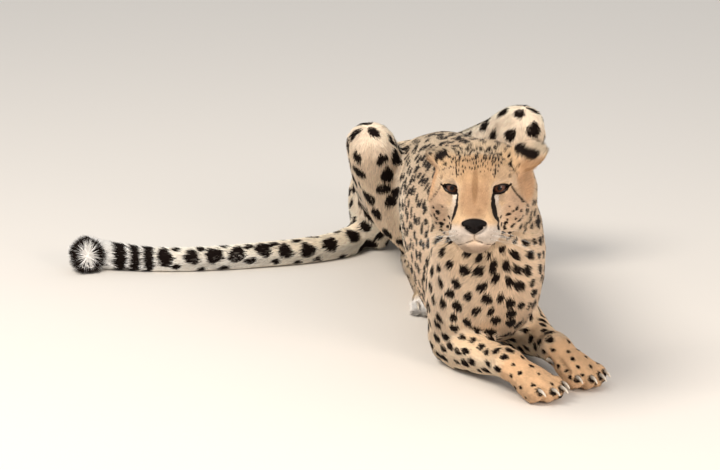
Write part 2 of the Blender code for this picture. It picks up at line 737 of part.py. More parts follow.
def main():
    clear_scene()
    place = head_place()
    body = whole_body(place)
    flesh, horn = [], []
    for side in (RIGHT, LEFT):
        fore, hind = fore_limb_parts(body, side), hind_limb_parts(body, side)
        fore_claws = [*claws(side, WRIST[side], FORE_BALL[side], FORE_PAW, "fore"), dew_claw(side)]
        hind_back = HOCK[side].lerp(HIND_BALL[side], 0.85)
        hind_claws = claws(side, hind_back, HIND_BALL[side], HIND_PAW, "hind")
        for claw in fore_claws:
            socketed(fore[0], claw)
        for claw in hind_claws:
            socketed(hind[0], claw)
        flesh += fore + hind
        horn += fore_claws + hind_claws
    flesh += tail_parts(body)
    for side in (RIGHT, LEFT):
        tip = cutter(larger(EAR_STATIONS, 0.003)[1:], place=place @ ear_frame(side))
        flesh.append(carved(body, f"ear_{SIDE_NAME[side]}", tip))
    head, body = parted(body, place @ NAPE, place.to_3x3() @ AHEAD, ("head", "body"))
    jaw = carved(head, "lower_jaw", box("cutter", *JAW_BOX, place))
    eyes = []
    for side in (RIGHT, LEFT):
        centre = Vector((side * EYE_SPREAD, EYE_DEPTH, 0))
        ball = ellipsoid(f"eye_{SIDE_NAME[side]}", centre, (EYE_RADIUS,) * 3, place, 16)
        eyes.append(socketed(head, ball))
    nose = socketed(head, ellipsoid("nose_pad", NOSE_AT, NOSE_SIZE, place, 14))
    neck_piece, body = parted(body, *NECK_CUT, ("neck", "body"))
    chest, body = parted(body, Vector((0, -0.40, 0)), AHEAD, ("chest", "body"))
    flesh += [head, jaw, neck_piece, chest, *parted(body, Vector((0, -0.13, 0)), AHEAD, ("loin", "pelvis"))]
    for part in flesh:
        coloured(part, COAT, 0.9)
    for claw in horn:
        coloured(claw, HORN, 0.35)
    for eye in eyes:
        coloured(eye, AMBER, 0.1)
    coloured(nose, NOSE_BLACK, 0.4)
    settled(flesh + horn + eyes + [nose])


main()
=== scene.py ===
# %% [markdown]
# # A cheetah lying on the ground, life size
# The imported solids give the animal's true outline, out to the tips of its coat. This lesson puts one
# skin just inside them, sculpts the face, paints the markings and covers it all with short tufts of fur.
# Everything is in metres: +Z is up, the animal faces -Y, and +X is its left.

# %% Load the solids
import math
from itertools import product

import bmesh
import bpy
import numpy as np
from mathutils import Matrix, Vector
from mathutils.bvhtree import BVHTree
from mathutils.kdtree import KDTree
from numpy.linalg import norm


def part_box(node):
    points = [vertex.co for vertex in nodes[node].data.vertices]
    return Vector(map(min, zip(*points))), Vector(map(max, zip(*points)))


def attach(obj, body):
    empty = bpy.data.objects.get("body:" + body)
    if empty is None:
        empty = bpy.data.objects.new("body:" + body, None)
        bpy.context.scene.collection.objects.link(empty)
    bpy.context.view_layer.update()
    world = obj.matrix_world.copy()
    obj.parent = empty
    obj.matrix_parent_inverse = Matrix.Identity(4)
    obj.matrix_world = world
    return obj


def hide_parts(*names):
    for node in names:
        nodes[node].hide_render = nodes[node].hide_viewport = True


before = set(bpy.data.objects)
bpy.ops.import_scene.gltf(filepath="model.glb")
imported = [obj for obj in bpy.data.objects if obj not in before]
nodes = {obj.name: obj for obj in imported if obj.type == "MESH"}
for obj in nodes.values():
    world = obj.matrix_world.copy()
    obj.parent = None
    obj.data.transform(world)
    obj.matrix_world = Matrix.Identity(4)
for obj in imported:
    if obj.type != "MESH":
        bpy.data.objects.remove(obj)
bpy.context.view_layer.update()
rng = np.random.default_rng(7)
MM = 0.001

# %% [markdown]
# ## The camera, the floor and the light
# A long lens far away keeps the proportions calm. The camera looks down a little and from the animal's
# right.

# %% Camera
AIM = Vector((0.1428, 0.5407, 0.0))  # the point on the floor at the middle of the view
CAMERA_DISTANCE = 7.0
CAMERA_HEIGHT, CAMERA_SIDE = math.radians(15.5), math.radians(-12.0)
LENS_MM, SENSOR_MM = 195.85, 36.0


def new_object(name, data):
    """Puts a new object into the scene."""
    obj = bpy.data.objects.new(name, data)
    bpy.context.scene.collection.objects.link(obj)
    return obj


def looking(obj, place, target):
    """Puts a camera or a light at a place and turns it to its target."""
    obj.location = place
    obj.rotation_euler = (target - place).to_track_quat("-Z", "Y").to_euler()
    return obj


lens = bpy.data.cameras.new("camera")
lens.lens, lens.sensor_width, lens.clip_end = LENS_MM, SENSOR_MM, 100.0
level = math.cos(CAMERA_HEIGHT)
to_camera = Vector((math.sin(CAMERA_SIDE) * level, -math.cos(CAMERA_SIDE) * level, math.sin(CAMERA_HEIGHT)))
camera = looking(new_object("camera", lens), AIM + to_camera * CAMERA_DISTANCE, AIM)
bpy.context.scene.camera = camera
bpy.context.scene.view_settings.view_transform = "Standard"
print("camera at", [round(c, 2) for c in camera.location])


# %% Colours and nodes
def linear(hex_colour):
    """An sRGB hex colour as the linear numbers that a shader works in."""
    channels = [int(hex_colour[i:i + 2], 16) / 255 for i in (1, 3, 5)]
    return tuple(c / 12.92 if c <= 0.04045 else ((c + 0.055) / 1.055) ** 2.4 for c in channels)


def feed(node, **links):
    """Sets a node's inputs, called by name or as in0, in1: each gets a value, or a link from an output."""
    for name, value in links.items():
        numbered = name.startswith("in") and name[2:].isdigit()
        socket = node.inputs[int(name[2:]) if numbered else name.replace("_", " ")]
        if isinstance(value, bpy.types.NodeSocket):
            node.id_data.links.new(value, socket)
        else:
            socket.default_value = value


def add_node(material, kind, settings=None, **links):
    """Adds a node, sets its plain values and feeds its inputs."""
    node = material.node_tree.nodes.new(kind)
    for name, value in (settings or {}).items():
        setattr(node, name, value)
    feed(node, **links)
    return node


def new_material(name, colour, roughness, **inputs):
    """A material and its Principled shader."""
    material = bpy.data.materials.new(name)
    material.use_nodes = True
    shader = material.node_tree.nodes["Principled BSDF"]
    feed(shader, Base_Color=(*linear(colour), 1.0), Roughness=roughness, **inputs)
    return material, shader


def object_space(material):
    return add_node(material, "ShaderNodeTexCoord").outputs["Object"]


def noise(material, **inputs):
    """Noise, 0 to 1, through the object's own space unless another vector is fed in."""
    if "Vector" not in inputs:
        inputs["Vector"] = object_space(material)
    return add_node(material, "ShaderNodeTexNoise", **inputs).outputs["Fac"]


def colour_ramp(material, factor, stops):
    """A band of colours: each stop is a place from 0 to 1 and a hex colour."""
    ramp = add_node(material, "ShaderNodeValToRGB", Fac=factor)
    elements = ramp.color_ramp.elements
    while len(elements) < len(stops):
        elements.new(1.0)
    for element, (place, colour) in zip(elements, stops):
        element.position, element.color = place, (*linear(colour), 1)
    return ramp.outputs["Color"]


def multiplied(material, share, a, b):
    """Colour a darkened by colour b, by a share."""
    mixed = add_node(material, "ShaderNodeMix", {"data_type": "RGBA", "blend_type": "MULTIPLY"},
                     in0=share, in6=a, in7=b)
    return mixed.outputs[2]


# %% Floor and lights
def add_light(name, place, size, watts, colour):
    light = bpy.data.lights.new(name, "AREA")
    light.shape, light.size, light.energy, light.color = "DISK", size, watts, linear(colour)
    looking(new_object(name, light), Vector(place), Vector((0, 0, 0.2)))


bpy.ops.mesh.primitive_plane_add(size=14, location=(0, 0, 0))
floor = bpy.context.object
floor.name = "floor"
floor.data.materials.append(new_material("studio_paper", "#D3CEC6", 0.9)[0])
add_light("sky_panel", place=(-1.7, -1.1, 2.9), size=1.6, watts=116, colour="#FFF6EC")
add_light("fill_panel", place=(1.3, -3.1, 1.4), size=1.3, watts=60, colour="#FFF0E4")
world = bpy.data.worlds.new("studio")
world.use_nodes = True
feed(world.node_tree.nodes["Background"], Color=(*linear("#F2F4F8"), 1), Strength=0.78)
bpy.context.scene.world = world

# %% [markdown]
# ## The head's own axes
# The head is turned and tilted, so the face is sculpted and marked in its own axes: origin midway
# between the eyes' openings, -Y along the muzzle, +X to the animal's left, +Z up. They come from the
# eyes and nose pad.

# %% Head axes
EYE_SETBACK = 6.0 * MM  # from the plane of the openings back to the eyeballs' centres
NOSE_ANGLE = math.atan2(-49.5, -82.0)  # of the nose pad's centre, from the eyeballs' centres


def middle_of(name):
    low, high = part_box(name)
    return (low + high) / 2


def head_axes():
    left, right, nose = (middle_of(n) for n in ("eye_left", "eye_right", "nose_pad"))
    x = (left - right).normalized()
    forward = nose - (left + right) / 2
    forward = (forward - x * forward.dot(x)).normalized()
    y = forward * math.cos(NOSE_ANGLE) - x.cross(forward) * math.sin(NOSE_ANGLE)
    turn = Matrix((x, y, x.cross(y))).transposed().to_4x4()
    return Matrix.Translation((left + right) / 2 - y * EYE_SETBACK) @ turn


HEAD = head_axes()
HEAD_BACK = HEAD.inverted()
HEAD_TURN = np.array(HEAD.to_3x3())
print("head at", [round(c, 3) for c in HEAD.translation])


def moved(points, matrix):
    m = np.array(matrix)
    return points @ m[:3, :3].T + m[:3, 3]


def in_head(points):
    """World points as head coordinates, as an array."""
    return moved(points, HEAD_BACK)


def from_head(points):
    return moved(points, HEAD)


# %% [markdown]
# ## One skin from all the flesh
# The flesh is parted into named solids, but a real skin has no seams. Copies of the solids are swollen a
# hair so that they overlap, joined, and remeshed into one closed surface.

# %% Join and remesh
SKIN_VOXEL = 3.0 * MM
SWELL = 0.6 * MM
SOCKET_FILL = 1.1  # radius of the ball that fills a socket, in eyeballs
FLESH = [n for n in nodes if not n.startswith("claw")]
SIDES = ("left", "right")


def only(obj):
    """Makes obj the one selected and active object."""
    bpy.ops.object.select_all(action="DESELECT")
    obj.select_set(True)
    bpy.context.view_layer.objects.active = obj


def swollen(name, solids, swell):
    """Copies of some solids, grown by a hair, as one object."""
    bm = bmesh.new()
    for solid in solids:
        bm.from_mesh(nodes[solid].data)
    bmesh.ops.remove_doubles(bm, verts=bm.verts, dist=0.001 * MM)
    bm.normal_update()
    for v in bm.verts:
        v.co += v.normal * swell
    mesh = bpy.data.meshes.new(name)
    bm.to_mesh(mesh)
    bm.free()
    return new_object(name, mesh)


def apply_modifier(obj, kind, **settings):
    only(obj)
    modifier = obj.modifiers.new(kind.lower(), kind)
    for name, value in settings.items():
        setattr(modifier, name, value)
    bpy.ops.object.modifier_apply(modifier=modifier.name)


EYE_RADIUS = (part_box("eye_left")[1].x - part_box("eye_left")[0].x) / 2
copies = [swollen("flesh_" + name, [name], SWELL) for name in FLESH]
# A ball fills each socket, so that no crack is left round the eye
for side in SIDES:
    bpy.ops.mesh.primitive_uv_sphere_add(radius=EYE_RADIUS * SOCKET_FILL, location=middle_of(f"eye_{side}"))
    copies.append(bpy.context.object)
only(copies[0])
for copy in copies[1:]:
    copy.select_set(True)
bpy.ops.object.join()
skin = bpy.context.object
skin.name = skin.data.name = "skin"
skin.data.materials.clear()
apply_modifier(skin, "REMESH", mode="VOXEL", voxel_size=SKIN_VOXEL)
print("joined skin:", len(skin.data.polygons), "faces")


# %% Arrays of a mesh
def read(items, attribute, width, kind=float):
    """An attribute of all the items as an array, a row for each."""
    flat = np.empty(len(items) * width, kind)
    items.foreach_get(attribute, flat)
    return flat.reshape(-1, width)


def points_of(mesh):
    return read(mesh.vertices, "co", 3)


def normals_of(mesh):
    return read(mesh.vertices, "normal", 3)


def edges_of(mesh):
    return read(mesh.edges, "vertices", 2, int)


def put_points(mesh, points):
    """Moves all the points of a mesh and shades it smooth."""
    mesh.vertices.foreach_set("co", np.ascontiguousarray(points).ravel())
    mesh.update()
    mesh.shade_smooth()


def neighbour_mean(values, edges):
    """Each point's average over the points it shares an edge with."""
    total = np.zeros_like(values)
    count = np.bincount(edges.ravel(), minlength=len(values)).astype(float)
    for a, b in (edges.T, edges.T[::-1]):
        for axis in range(values.shape[1]):
            total[:, axis] += np.bincount(a, weights=values[b, axis], minlength=len(values))
    return total / count[:, None]


def spread(values, edges, steps):
    """Evens a value out over the surface."""
    values = values.astype(float)
    for _ in range(steps):
        values = values * 0.5 + neighbour_mean(values, edges) * 0.5
    return values


def ironed(points, edges, steps, strength):
    """Smooths a shape without shrinking it: each inward step is followed by an outward one."""
    for _ in range(steps):
        for pull in (0.5, -0.52):
            points = points + (neighbour_mean(points, edges) - points) * (pull * strength)
    return points


# %% Iron out the solids' facets
IRONING_STEPS = 26
LOW, IRONING_LOW = 45 * MM, 0.55  # what lies this near the floor is ironed less
HEAD_SPARED = 0.7  # how much less the head is ironed


def near_head(points, reach):
    """1 on the face and ears, fading to 0 over the neck."""
    x, y, z = in_head(points).T
    return np.clip((reach - y) / 0.02, 0, 1) * (np.abs(x) < 0.13) * (z > -0.14)


points, edges = points_of(skin.data), edges_of(skin.data)
strength = np.where(points[:, 2] < LOW, IRONING_LOW, 1.0) * (1 - HEAD_SPARED * near_head(points, 0.12))
points = ironed(points, edges, IRONING_STEPS, strength[:, None])
put_points(skin.data, points)
print("ironed", len(points), "points")

# %% [markdown]
# ## Fine where it shows, coarse where it is covered
# The trunk's skin is covered by deep fur, so its mesh is thinned. The face has short fur and small
# folds, so its polygons are split instead.

# %% Thin the body, split the face
TRUNK_KEPT = 0.30
PAWS = [n for n in FLESH if "paw" in n]


def in_boxes(points, names, margin):
    """Which points lie in the boxes of the named solids."""
    inside = np.zeros(len(points), bool)
    for name in names:
        low, high = (np.array(corner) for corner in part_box(name))
        inside |= ((points > low - margin) & (points < high + margin)).all(axis=1)
    return inside


def split_faces(obj, chosen):
    """Cuts each chosen face into four."""
    bm = bmesh.new()
    bm.from_mesh(obj.data)
    chosen_edges = {e for f in bm.faces if chosen(HEAD_BACK @ f.calc_center_median()) for e in f.edges}
    bmesh.ops.subdivide_edges(bm, edges=list(chosen_edges), cuts=1, use_grid_fill=True)
    bmesh.ops.triangulate(bm, faces=bm.faces)
    bm.to_mesh(obj.data)
    bm.free()


def on_face(h):
    return h.y < 0.020 and abs(h.x) < 0.066 and h.z > -0.098


def round_an_eye(h):
    return h.y < 0.012 and 0.014 < abs(h.x) < 0.060 and -0.022 < h.z < 0.022


group = skin.vertex_groups.new(name="thin")
kept_fine = (near_head(points, 0.13) > 0) | in_boxes(points, PAWS, 4 * MM)
group.add(np.flatnonzero(~kept_fine).tolist(), 1.0, "REPLACE")
apply_modifier(skin, "DECIMATE", ratio=TRUNK_KEPT, vertex_group="thin")
print("thinned to", len(skin.data.polygons))
split_faces(skin, on_face)
split_faces(skin, round_an_eye)
counts = [len(part) for part in (skin.data.vertices, skin.data.edges, skin.data.polygons)]
print("skin now has", counts[2], "triangles; vertices - edges + faces =", counts[0] - counts[1] + counts[2])

# %% [markdown]
# ## Regions of the coat
# A cheetah's coat is short on the face and feet and longer on the neck, chest and tail tip. Each region
# says how deep its fur is, how long a tuft is, how many there are, and how big and far apart the spots
# are.

# %% What each region is like
COLUMNS = "depth length width per_cm2 spot gap stretch".split()  # mm, and tufts per square centimetre
REGIONS = {
    "head": (1.8, 6.0, 0.7, 50, 8.5, 11.0, 1.4, "#CBAA84", "#DCC0A2"),
    "lower_jaw": (1.5, 5.0, 0.7, 55, 2.0, 9.0, 1.0, "#DFCBB6", "#DCC0A6"),
    "ear": (2.0, 9.0, 0.6, 70, 2.0, 9.0, 1.0, "#CDB79C", "#C8A882"),
    # The right ear's coat is coloured darker than the left ear's: painted shade.
    "ear_right": (2.0, 9.0, 0.7, 70, 9.0, 13.0, 1.5, "#A8957C", "#A08A70"),
    "nose_pad": (1.0, 2.0, 0.5, 40, 2.0, 9.0, 1.0, "#E0C6AA", "#E0C6AA"),
    "eye": (1.0, 2.0, 0.5, 40, 2.0, 9.0, 1.0, "#CBA67E", "#DCC0A2"),
    "neck": (4.0, 12.0, 1.1, 34, 15.0, 17.0, 1.35, "#C6AD90", "#D8BD9E"),
    "chest": (3.0, 12.0, 1.2, 30, 19.5, 21.0, 1.35, "#C8AE90", "#E6CAAC"),
    "loin": (3.0, 11.0, 1.3, 24, 20.5, 20.5, 1.4, "#CDB89C", "#F2DEC6"),
    "pelvis": (3.2, 11.0, 1.3, 24, 21.0, 24.0, 1.4, "#E3CBAA", "#F6E5CE"),
    "upper_arm": (3.0, 11.0, 1.1, 30, 18.5, 21.5, 1.3, "#F2D5B4", "#F4D9BE"),
    "forearm": (2.4, 9.0, 0.9, 36, 15.5, 17.0, 1.3, "#ECCDA8", "#F4DABC"),
    "fore_paw": (1.6, 5.5, 0.7, 55, 8.0, 16.5, 1.2, "#E4BC92", "#E2BA92"),
    "thigh": (3.0, 11.0, 1.2, 26, 27.5, 31.0, 1.12, "#FAE6CE", "#F6DFC8"),
    "shank": (2.8, 10.0, 1.1, 28, 25.5, 29.0, 1.15, "#F8E2C8", "#F2D8BC"),
    "hind_foot": (2.5, 7.5, 0.9, 38, 9.0, 15.0, 1.1, "#EED2AE", "#F2D9C0"),
    "hind_paw": (1.8, 5.5, 0.7, 55, 5.0, 14.0, 1.0, "#EED2AE", "#F2D9C0"),
    "tail_root": (3.5, 12.0, 1.2, 26, 22.0, 29.0, 1.2, "#F8E6CC", "#FAEEDC"),
    "tail_middle": (4.0, 12.0, 1.2, 30, 0.0, 200.0, 1.2, "#FBF0DE", "#FCF3E6"),
    "tail_outer": (5.0, 13.0, 1.1, 34, 0.0, 200.0, 1.2, "#FDF6EC", "#FDF8F0"),
    "tail_tip": (8.0, 20.0, 1.0, 50, 0.0, 200.0, 1.2, "#FDF9F2", "#FDFAF4"),
}


def region_of(name):
    return name.removesuffix("_left").removesuffix("_right")


def region_row(name):
    return REGIONS.get(name) or REGIONS[region_of(name)]


def solids_tree(names):
    """A search tree of the named solids' faces, and which solid each face is of."""
    corners, faces, owner = [], [], []
    for number, name in enumerate(names):
        mesh = nodes[name].data
        base = len(corners)
        corners += [v.co for v in mesh.vertices]
        faces += [[base + i for i in p.vertices] for p in mesh.polygons]
        owner += [number] * len(mesh.polygons)
    return BVHTree.FromPolygons(corners, faces), np.array(owner)


points, edges, normals = points_of(skin.data), edges_of(skin.data), normals_of(skin.data)
tree, owner = solids_tree(FLESH)
nearest = owner[[tree.find_nearest(Vector(p))[2] for p in points]]
table = np.array([region_row(name)[:len(COLUMNS)] for name in FLESH], float)
colours = np.array([[linear(c) for c in region_row(name)[-2:]] for name in FLESH])
SEAM_SPREAD = 14
field = dict(zip(COLUMNS, spread(table[nearest], edges, SEAM_SPREAD).T))
back_colour = spread(colours[nearest, 0], edges, SEAM_SPREAD)
belly_colour = spread(colours[nearest, 1], edges, SEAM_SPREAD)
print("regions spread over", len(points), "points")

# %% [markdown]
# ## The lie of the coat
# Hair lies away from the nose, back along the body and down each leg. Every solid gets one direction,
# and the directions are evened out over the skin so that the hair turns gently from one part to the
# next.

# %% Directions
LIE = {
    "neck": ("head", "chest"), "chest": ("neck", "pelvis"),
    "loin": ("chest", "pelvis"), "pelvis": ("loin", "tail_root"),
    "upper_arm": (0, 0.25, -1), "thigh": (0, -0.8, -0.6), "shank": (0, 0.2, -1),
    "tail_root": ("tail_root", "tail_middle"), "tail_middle": ("tail_middle", "tail_outer"),
    "tail_outer": ("tail_outer", "tail_tip"), "tail_tip": ("tail_outer", "tail_tip"),
}
for side in SIDES:
    arm, foot = (f"forearm_{side}", f"fore_paw_{side}"), (f"hind_foot_{side}", f"hind_paw_{side}")
    LIE |= {arm[0]: arm, arm[1]: arm, foot[0]: foot, foot[1]: foot, f"ear_{side}": ("head", f"ear_{side}")}
BRUSH_RADIUS = 36 * MM
tail_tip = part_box("tail_tip")[0]
TAIL_END = np.array([tail_tip.x + 0.0295, tail_tip.y, 0.035])  # the middle of the brush, as seen end on
# Pale hair round the right hind toes
HIND_TUFT, HIND_TUFT_REACH = np.array([0.126, 0.018, 0.016]), 36 * MM
HIND_TUFT_LIE = (-0.9, -0.4, 0.1)


def unit(vectors):
    return vectors / np.maximum(norm(vectors, axis=-1, keepdims=True), 1e-9)


def along_skin(directions):
    """Directions turned so that they lie flat on the skin."""
    return unit(directions - normals * (directions * normals).sum(1, keepdims=True))


def lie_of(name):
    rule = LIE.get(name) or LIE.get(region_of(name)) or (0, 1, 0)
    if isinstance(rule[0], str):
        rule = middle_of(rule[1]) - middle_of(rule[0])
    return Vector(rule).normalized()


def made_of(*names):
    """Which points of the skin came from these solids."""
    return np.isin(nearest, [FLESH.index(name) for name in names])


def both(*parts):
    return [f"{part}_{side}" for part in parts for side in SIDES]


def away_from(place, points):
    return norm(points - place, axis=1)


lie = np.array([lie_of(name) for name in FLESH])[nearest]
nose_tip = np.array(middle_of("nose_pad"))
head_part = made_of("head", "lower_jaw", "nose_pad", *both("eye"))
lie[head_part] = unit(points[head_part] - nose_tip)
brush = away_from(TAIL_END, points) < BRUSH_RADIUS
hind_tuft = away_from(HIND_TUFT, points) < HIND_TUFT_REACH * 0.8
lie = spread(lie, edges, 30)
lie[brush] = unit(points[brush] - TAIL_END)  # the tail's brush opens out from its end
lie[hind_tuft] = HIND_TUFT_LIE
lie = along_skin(spread(lie, edges, 3))

# %% Sink the skin below the coat
# How long the hair is, in mm, at distances from the nose in m
FACE_LENGTHS = ((0.0, 2.0), (0.05, 3.0), (0.09, 4.8), (0.14, 9.5), (0.18, 13.0))
EAR_HAIR, EAR_DEPTH = 11.0, 2.2  # mm, as are the next ones
HIND_TUFT_HAIR, HIND_TUFT_DEPTH = 15.0, 5.0
FACE_DEPTH_SHARE = 0.3  # of a hair's length
LAIN_ON_DEPTH = 0.6  # where the animal's weight presses the coat flat

on_head = near_head(points, 0.13)
face_length = np.interp(away_from(nose_tip, points), *zip(*FACE_LENGTHS))
is_ear = made_of(*both("ear"))
length = on_head * face_length + (1 - on_head) * field["length"]
length = np.where(is_ear, EAR_HAIR, length)
length[hind_tuft] = HIND_TUFT_HAIR
depth = np.where(on_head > 0, np.where(is_ear, EAR_DEPTH, FACE_DEPTH_SHARE * length), field["depth"])
depth[hind_tuft] = HIND_TUFT_DEPTH
depth = spread(depth[:, None], edges, 6)[:, 0]
depth[(points[:, 2] < 12 * MM) & (normals[:, 2] < -0.6)] = LAIN_ON_DEPTH
field |= {"length": length, "depth": depth}
points = ironed(points - normals * (depth * MM)[:, None], edges, 3, 0.6)
print("skin sunk by", round(float(depth.min()), 1), "to", round(float(depth.max()), 1), "mm")

# %% [markdown]
# ## Lids
# Each lid is skin drawn over the eyeball. The skin round an eye is first let go like a drawn membrane,
# then pushed out wherever it comes nearer to the ball than a lid's thickness. Inside the opening it
# drops behind the ball.

# %% An eye's own axes
OPENING_HALF = 12.4 * MM
LID_ABOVE, LID_BELOW = 4.3 * MM, 6.9 * MM
EYE_SLANT = 0.14
EYE_LOOKS = (0.22, -1.0, 0.03)  # the way the left eye's opening faces, on the head
LID_THICK = 1.5 * MM
SOCKET_REACH = 22 * MM


def eye_frame(side, direction):
    """Across, up and forward for an eye that faces a direction, which is mirrored on the right side."""
    up = HEAD_TURN @ np.array([0.0, 0.0, 1.0])
    w = HEAD_TURN @ unit(np.array(direction) * (side, 1, 1))
    v = unit(up - w * (up @ w))
    return np.cross(v, w), v, w


class EyeAxes:
    """An eye's own axes: u towards the ear, v up, w out of the head."""

    def __init__(self, name, side):
        self.centre = np.array(middle_of(name))
        across, self.v, self.w = eye_frame(side, EYE_LOOKS)
        self.u = across * side

    def local(self, points):
        away = points - self.centre
        return away @ self.u, away @ self.v, away @ self.w

    def world(self, u, v, w):
        return self.centre + np.stack([u, v, w], axis=-1) @ np.array([self.u, self.v, self.w])


EYES = [EyeAxes("eye_left", 1), EyeAxes("eye_right", -1)]


def opening_edges(u):
    """Heights of the upper and lower lid's edge at a distance along the opening, nose end at u < 0."""
    t = np.clip(u / OPENING_HALF, -1, 1)
    arch = np.maximum(1 - t * t, 0)
    tilt = EYE_SLANT * u
    return tilt + LID_ABOVE * arch ** 0.45, tilt - LID_BELOW * arch ** 0.55 * (1 - 0.30 * t)


def outside_opening(u, v):
    """How far a point lies outside the opening, about in metres; negative inside it."""
    upper, lower = opening_edges(u)
    across = np.maximum(v - upper, lower - v)
    beyond = np.abs(u) - OPENING_HALF
    return np.where(beyond > 0, np.hypot(beyond, np.maximum(across, 0)), across)


def smoothstep(low, high, x):
    t = np.clip((x - low) / (high - low), 0, 1)
    return t * t * (3 - 2 * t)


def bump_at(x, middle, width):
    """A soft bump: 1 at the middle, falling off over the width."""
    return np.exp(-((x - middle) / width) ** 2)


def relaxed(points, free, steps):
    """Lets the free points settle between their neighbours, while the rest hold still."""
    some = edges[free[edges].any(axis=1)]
    used, flat = np.unique(some, return_inverse=True)
    some, moving, p = flat.reshape(-1, 2), free[used], points[used]
    for _ in range(steps):
        p = np.where(moving[:, None], neighbour_mean(p, some), p)
    points = points.copy()
    points[used] = p
    return points


# %% Shape the lids
MARGIN_CATCH = 0.8 * MM  # points this near the lids' edge are drawn onto it
FOLD_AT, FOLD_DEEP, FOLD_WIDE = 4.2 * MM, 0.8 * MM, 1.1 * MM
BROW_AT, BROW_HIGH, BROW_WIDE = 11.0 * MM, 1.6 * MM, 5 * MM
CLEAR_OF_BALL = 0.3 * MM  # from the eyeball to the inside of a lid
LID_SOFT = 1.3 * MM  # how gently a lid leaves the face
SOCKET_DROP = 4 * MM  # how far the skin drops behind the opening

no_fur = np.zeros(len(points), bool)
for eye in EYES:
    u, v, w = eye.local(points)
    socket = (np.hypot(u, v) < SOCKET_REACH) & (w > -8 * MM)
    points = relaxed(points, socket, 140)
    near = (np.hypot(u, v) < SOCKET_REACH + 6 * MM) & (w > -8 * MM)
    u, v, w = (a[near] for a in eye.local(points))
    out = outside_opening(u, v)
    for _ in range(2):  # onto the edge: down the slope of the distance
        step = 0.05 * MM
        du = (outside_opening(u + step, v) - out) / step
        dv = (outside_opening(u, v + step) - out) / step
        catch = (np.abs(out) < MARGIN_CATCH) / np.maximum(du ** 2 + dv ** 2, 0.3)
        u, v = u - du * out * catch, v - dv * out * catch
        out = outside_opening(u, v)
    reach = np.hypot(u, v)
    upper = v > 0
    lid = EYE_RADIUS + CLEAR_OF_BALL + LID_THICK * smoothstep(0, 1.6 * MM, out) * np.where(upper, 1.5, 1.0)
    ball = np.sqrt(np.maximum(lid ** 2 - reach ** 2, 0))
    raised = w + LID_SOFT * np.log1p(np.exp(np.clip((ball - w) / LID_SOFT, -30, 30)))
    raised += BROW_HIGH * bump_at(out, BROW_AT, BROW_WIDE) * upper * (reach < SOCKET_REACH)
    raised -= FOLD_DEEP * bump_at(out, FOLD_AT, FOLD_WIDE) * np.where(upper, 1.0, 0.4)
    raised = np.where(reach < EYE_RADIUS * 1.25, raised, w + (raised - w) * smoothstep(0.028, 0.019, reach))
    margin = smoothstep(0.0, 1.2 * MM, out)
    on_edge = np.sqrt(np.maximum((EYE_RADIUS + CLEAR_OF_BALL) ** 2 - reach ** 2, 0))
    raised = on_edge * (1 - margin) + raised * margin
    sunk = on_edge - SOCKET_DROP * smoothstep(0, 2 * MM, -out)
    points[near] = eye.world(u, v, np.where(out > 0.02 * MM, raised, sunk))
    no_fur[np.flatnonzero(near)[out < 1.4 * MM]] = True
print("lids shaped; bare points:", no_fur.sum())

# %% [markdown]
# ## Mouth, nose bed and toes
# The line of the mouth is a groove pressed into the muzzle, and the nose pad sits in a shallow bed.
# Grooves between the toes run back from the gaps between the claws.

# %% Press in the mouth and the nose bed
MOUTH = np.array([(0, -78, -60), (0, -77.5, -70.5), (12, -74, -74.1), (25, -64, -79), (33, -45, -79.8),
                  (37, -28, -76)]) * MM
MOUTH_WIDE, MOUTH_DEEP = 1.6 * MM, 2.4 * MM
NOSE_CENTRE, NOSE_RADII = (0, -76, -49.5), (20.5, 16, 12)  # mm
NOSE_BED_DEEP = 6.5 * MM


def off_line(p, line, taper=0.0):
    """Each point's distance from a bent line. A taper makes each piece narrower towards its end."""
    best = np.full(len(p), np.inf)
    for a, b in zip(line, line[1:]):
        t = np.clip((p - a) @ (b - a) / ((b - a) @ (b - a)), 0, 1)
        best = np.minimum(best, norm(p - a - t[:, None] * (b - a), axis=1) / (1 - taper * t))
    return best


def near_line(h, line, y_weight=0.35):
    """Distance from a line drawn on both sides of the head; depth along the muzzle counts less."""
    scale = np.array([1.0, y_weight, 1.0])
    p = h * scale
    p[:, 0] = np.abs(p[:, 0])
    return off_line(p, line * scale)


h = in_head(points)
front = h[:, 1] < -0.02
lips = near_line(h, MOUTH)
h[:, 1] += bump_at(lips, 0, MOUTH_WIDE) * front * MOUTH_DEEP
nose_local = (h / MM - NOSE_CENTRE) / NOSE_RADII
nose_bed = smoothstep(1.15, 0.75, norm(nose_local * (1, 0.4, 1), axis=1)) * front
h[:, 1] += nose_bed * NOSE_BED_DEEP
no_fur |= (nose_bed > 0.35) | ((lips < 1.1 * MM) & front)
points = from_head(h)

# %% Part the toes
TOE_GROOVE_LONG, TOE_GROOVE_DEEP, TOE_GROOVE_WIDE = 30 * MM, 3.2 * MM, 2.4 * MM
CLAWS = [n for n in nodes if n.startswith("claw")]
toe_gap = np.zeros(len(points))
claw_base = []
for paw in PAWS:
    limb, _, side = paw.split("_")
    toes = np.array([middle_of(n) for n in CLAWS if n.startswith(f"claw_{limb}_{side}")])
    claw_base += list(toes)
    ahead = unit((toes.mean(0) - np.array(middle_of(paw))) * (1, 1, 0))
    across = np.array([-ahead[1], ahead[0], 0])
    toes = toes[np.argsort(toes @ across)]
    inside = in_boxes(points, [paw], 3 * MM)
    for a, b in zip(toes, toes[1:]):
        away = points - (a + b) / 2
        back = -(away @ ahead)
        along = smoothstep(TOE_GROOVE_LONG, TOE_GROOVE_LONG * 0.3, back) * (back > -20 * MM)
        toe_gap = np.maximum(toe_gap, bump_at(away @ across, 0, TOE_GROOVE_WIDE) * along * inside)
claw_base = np.array(claw_base)
points = points - unit(normals) * (toe_gap * TOE_GROOVE_DEEP * (points[:, 2] > 3 * MM))[:, None]
put_points(skin.data, points)
normals = normals_of(skin.data)
lie = along_skin(lie)
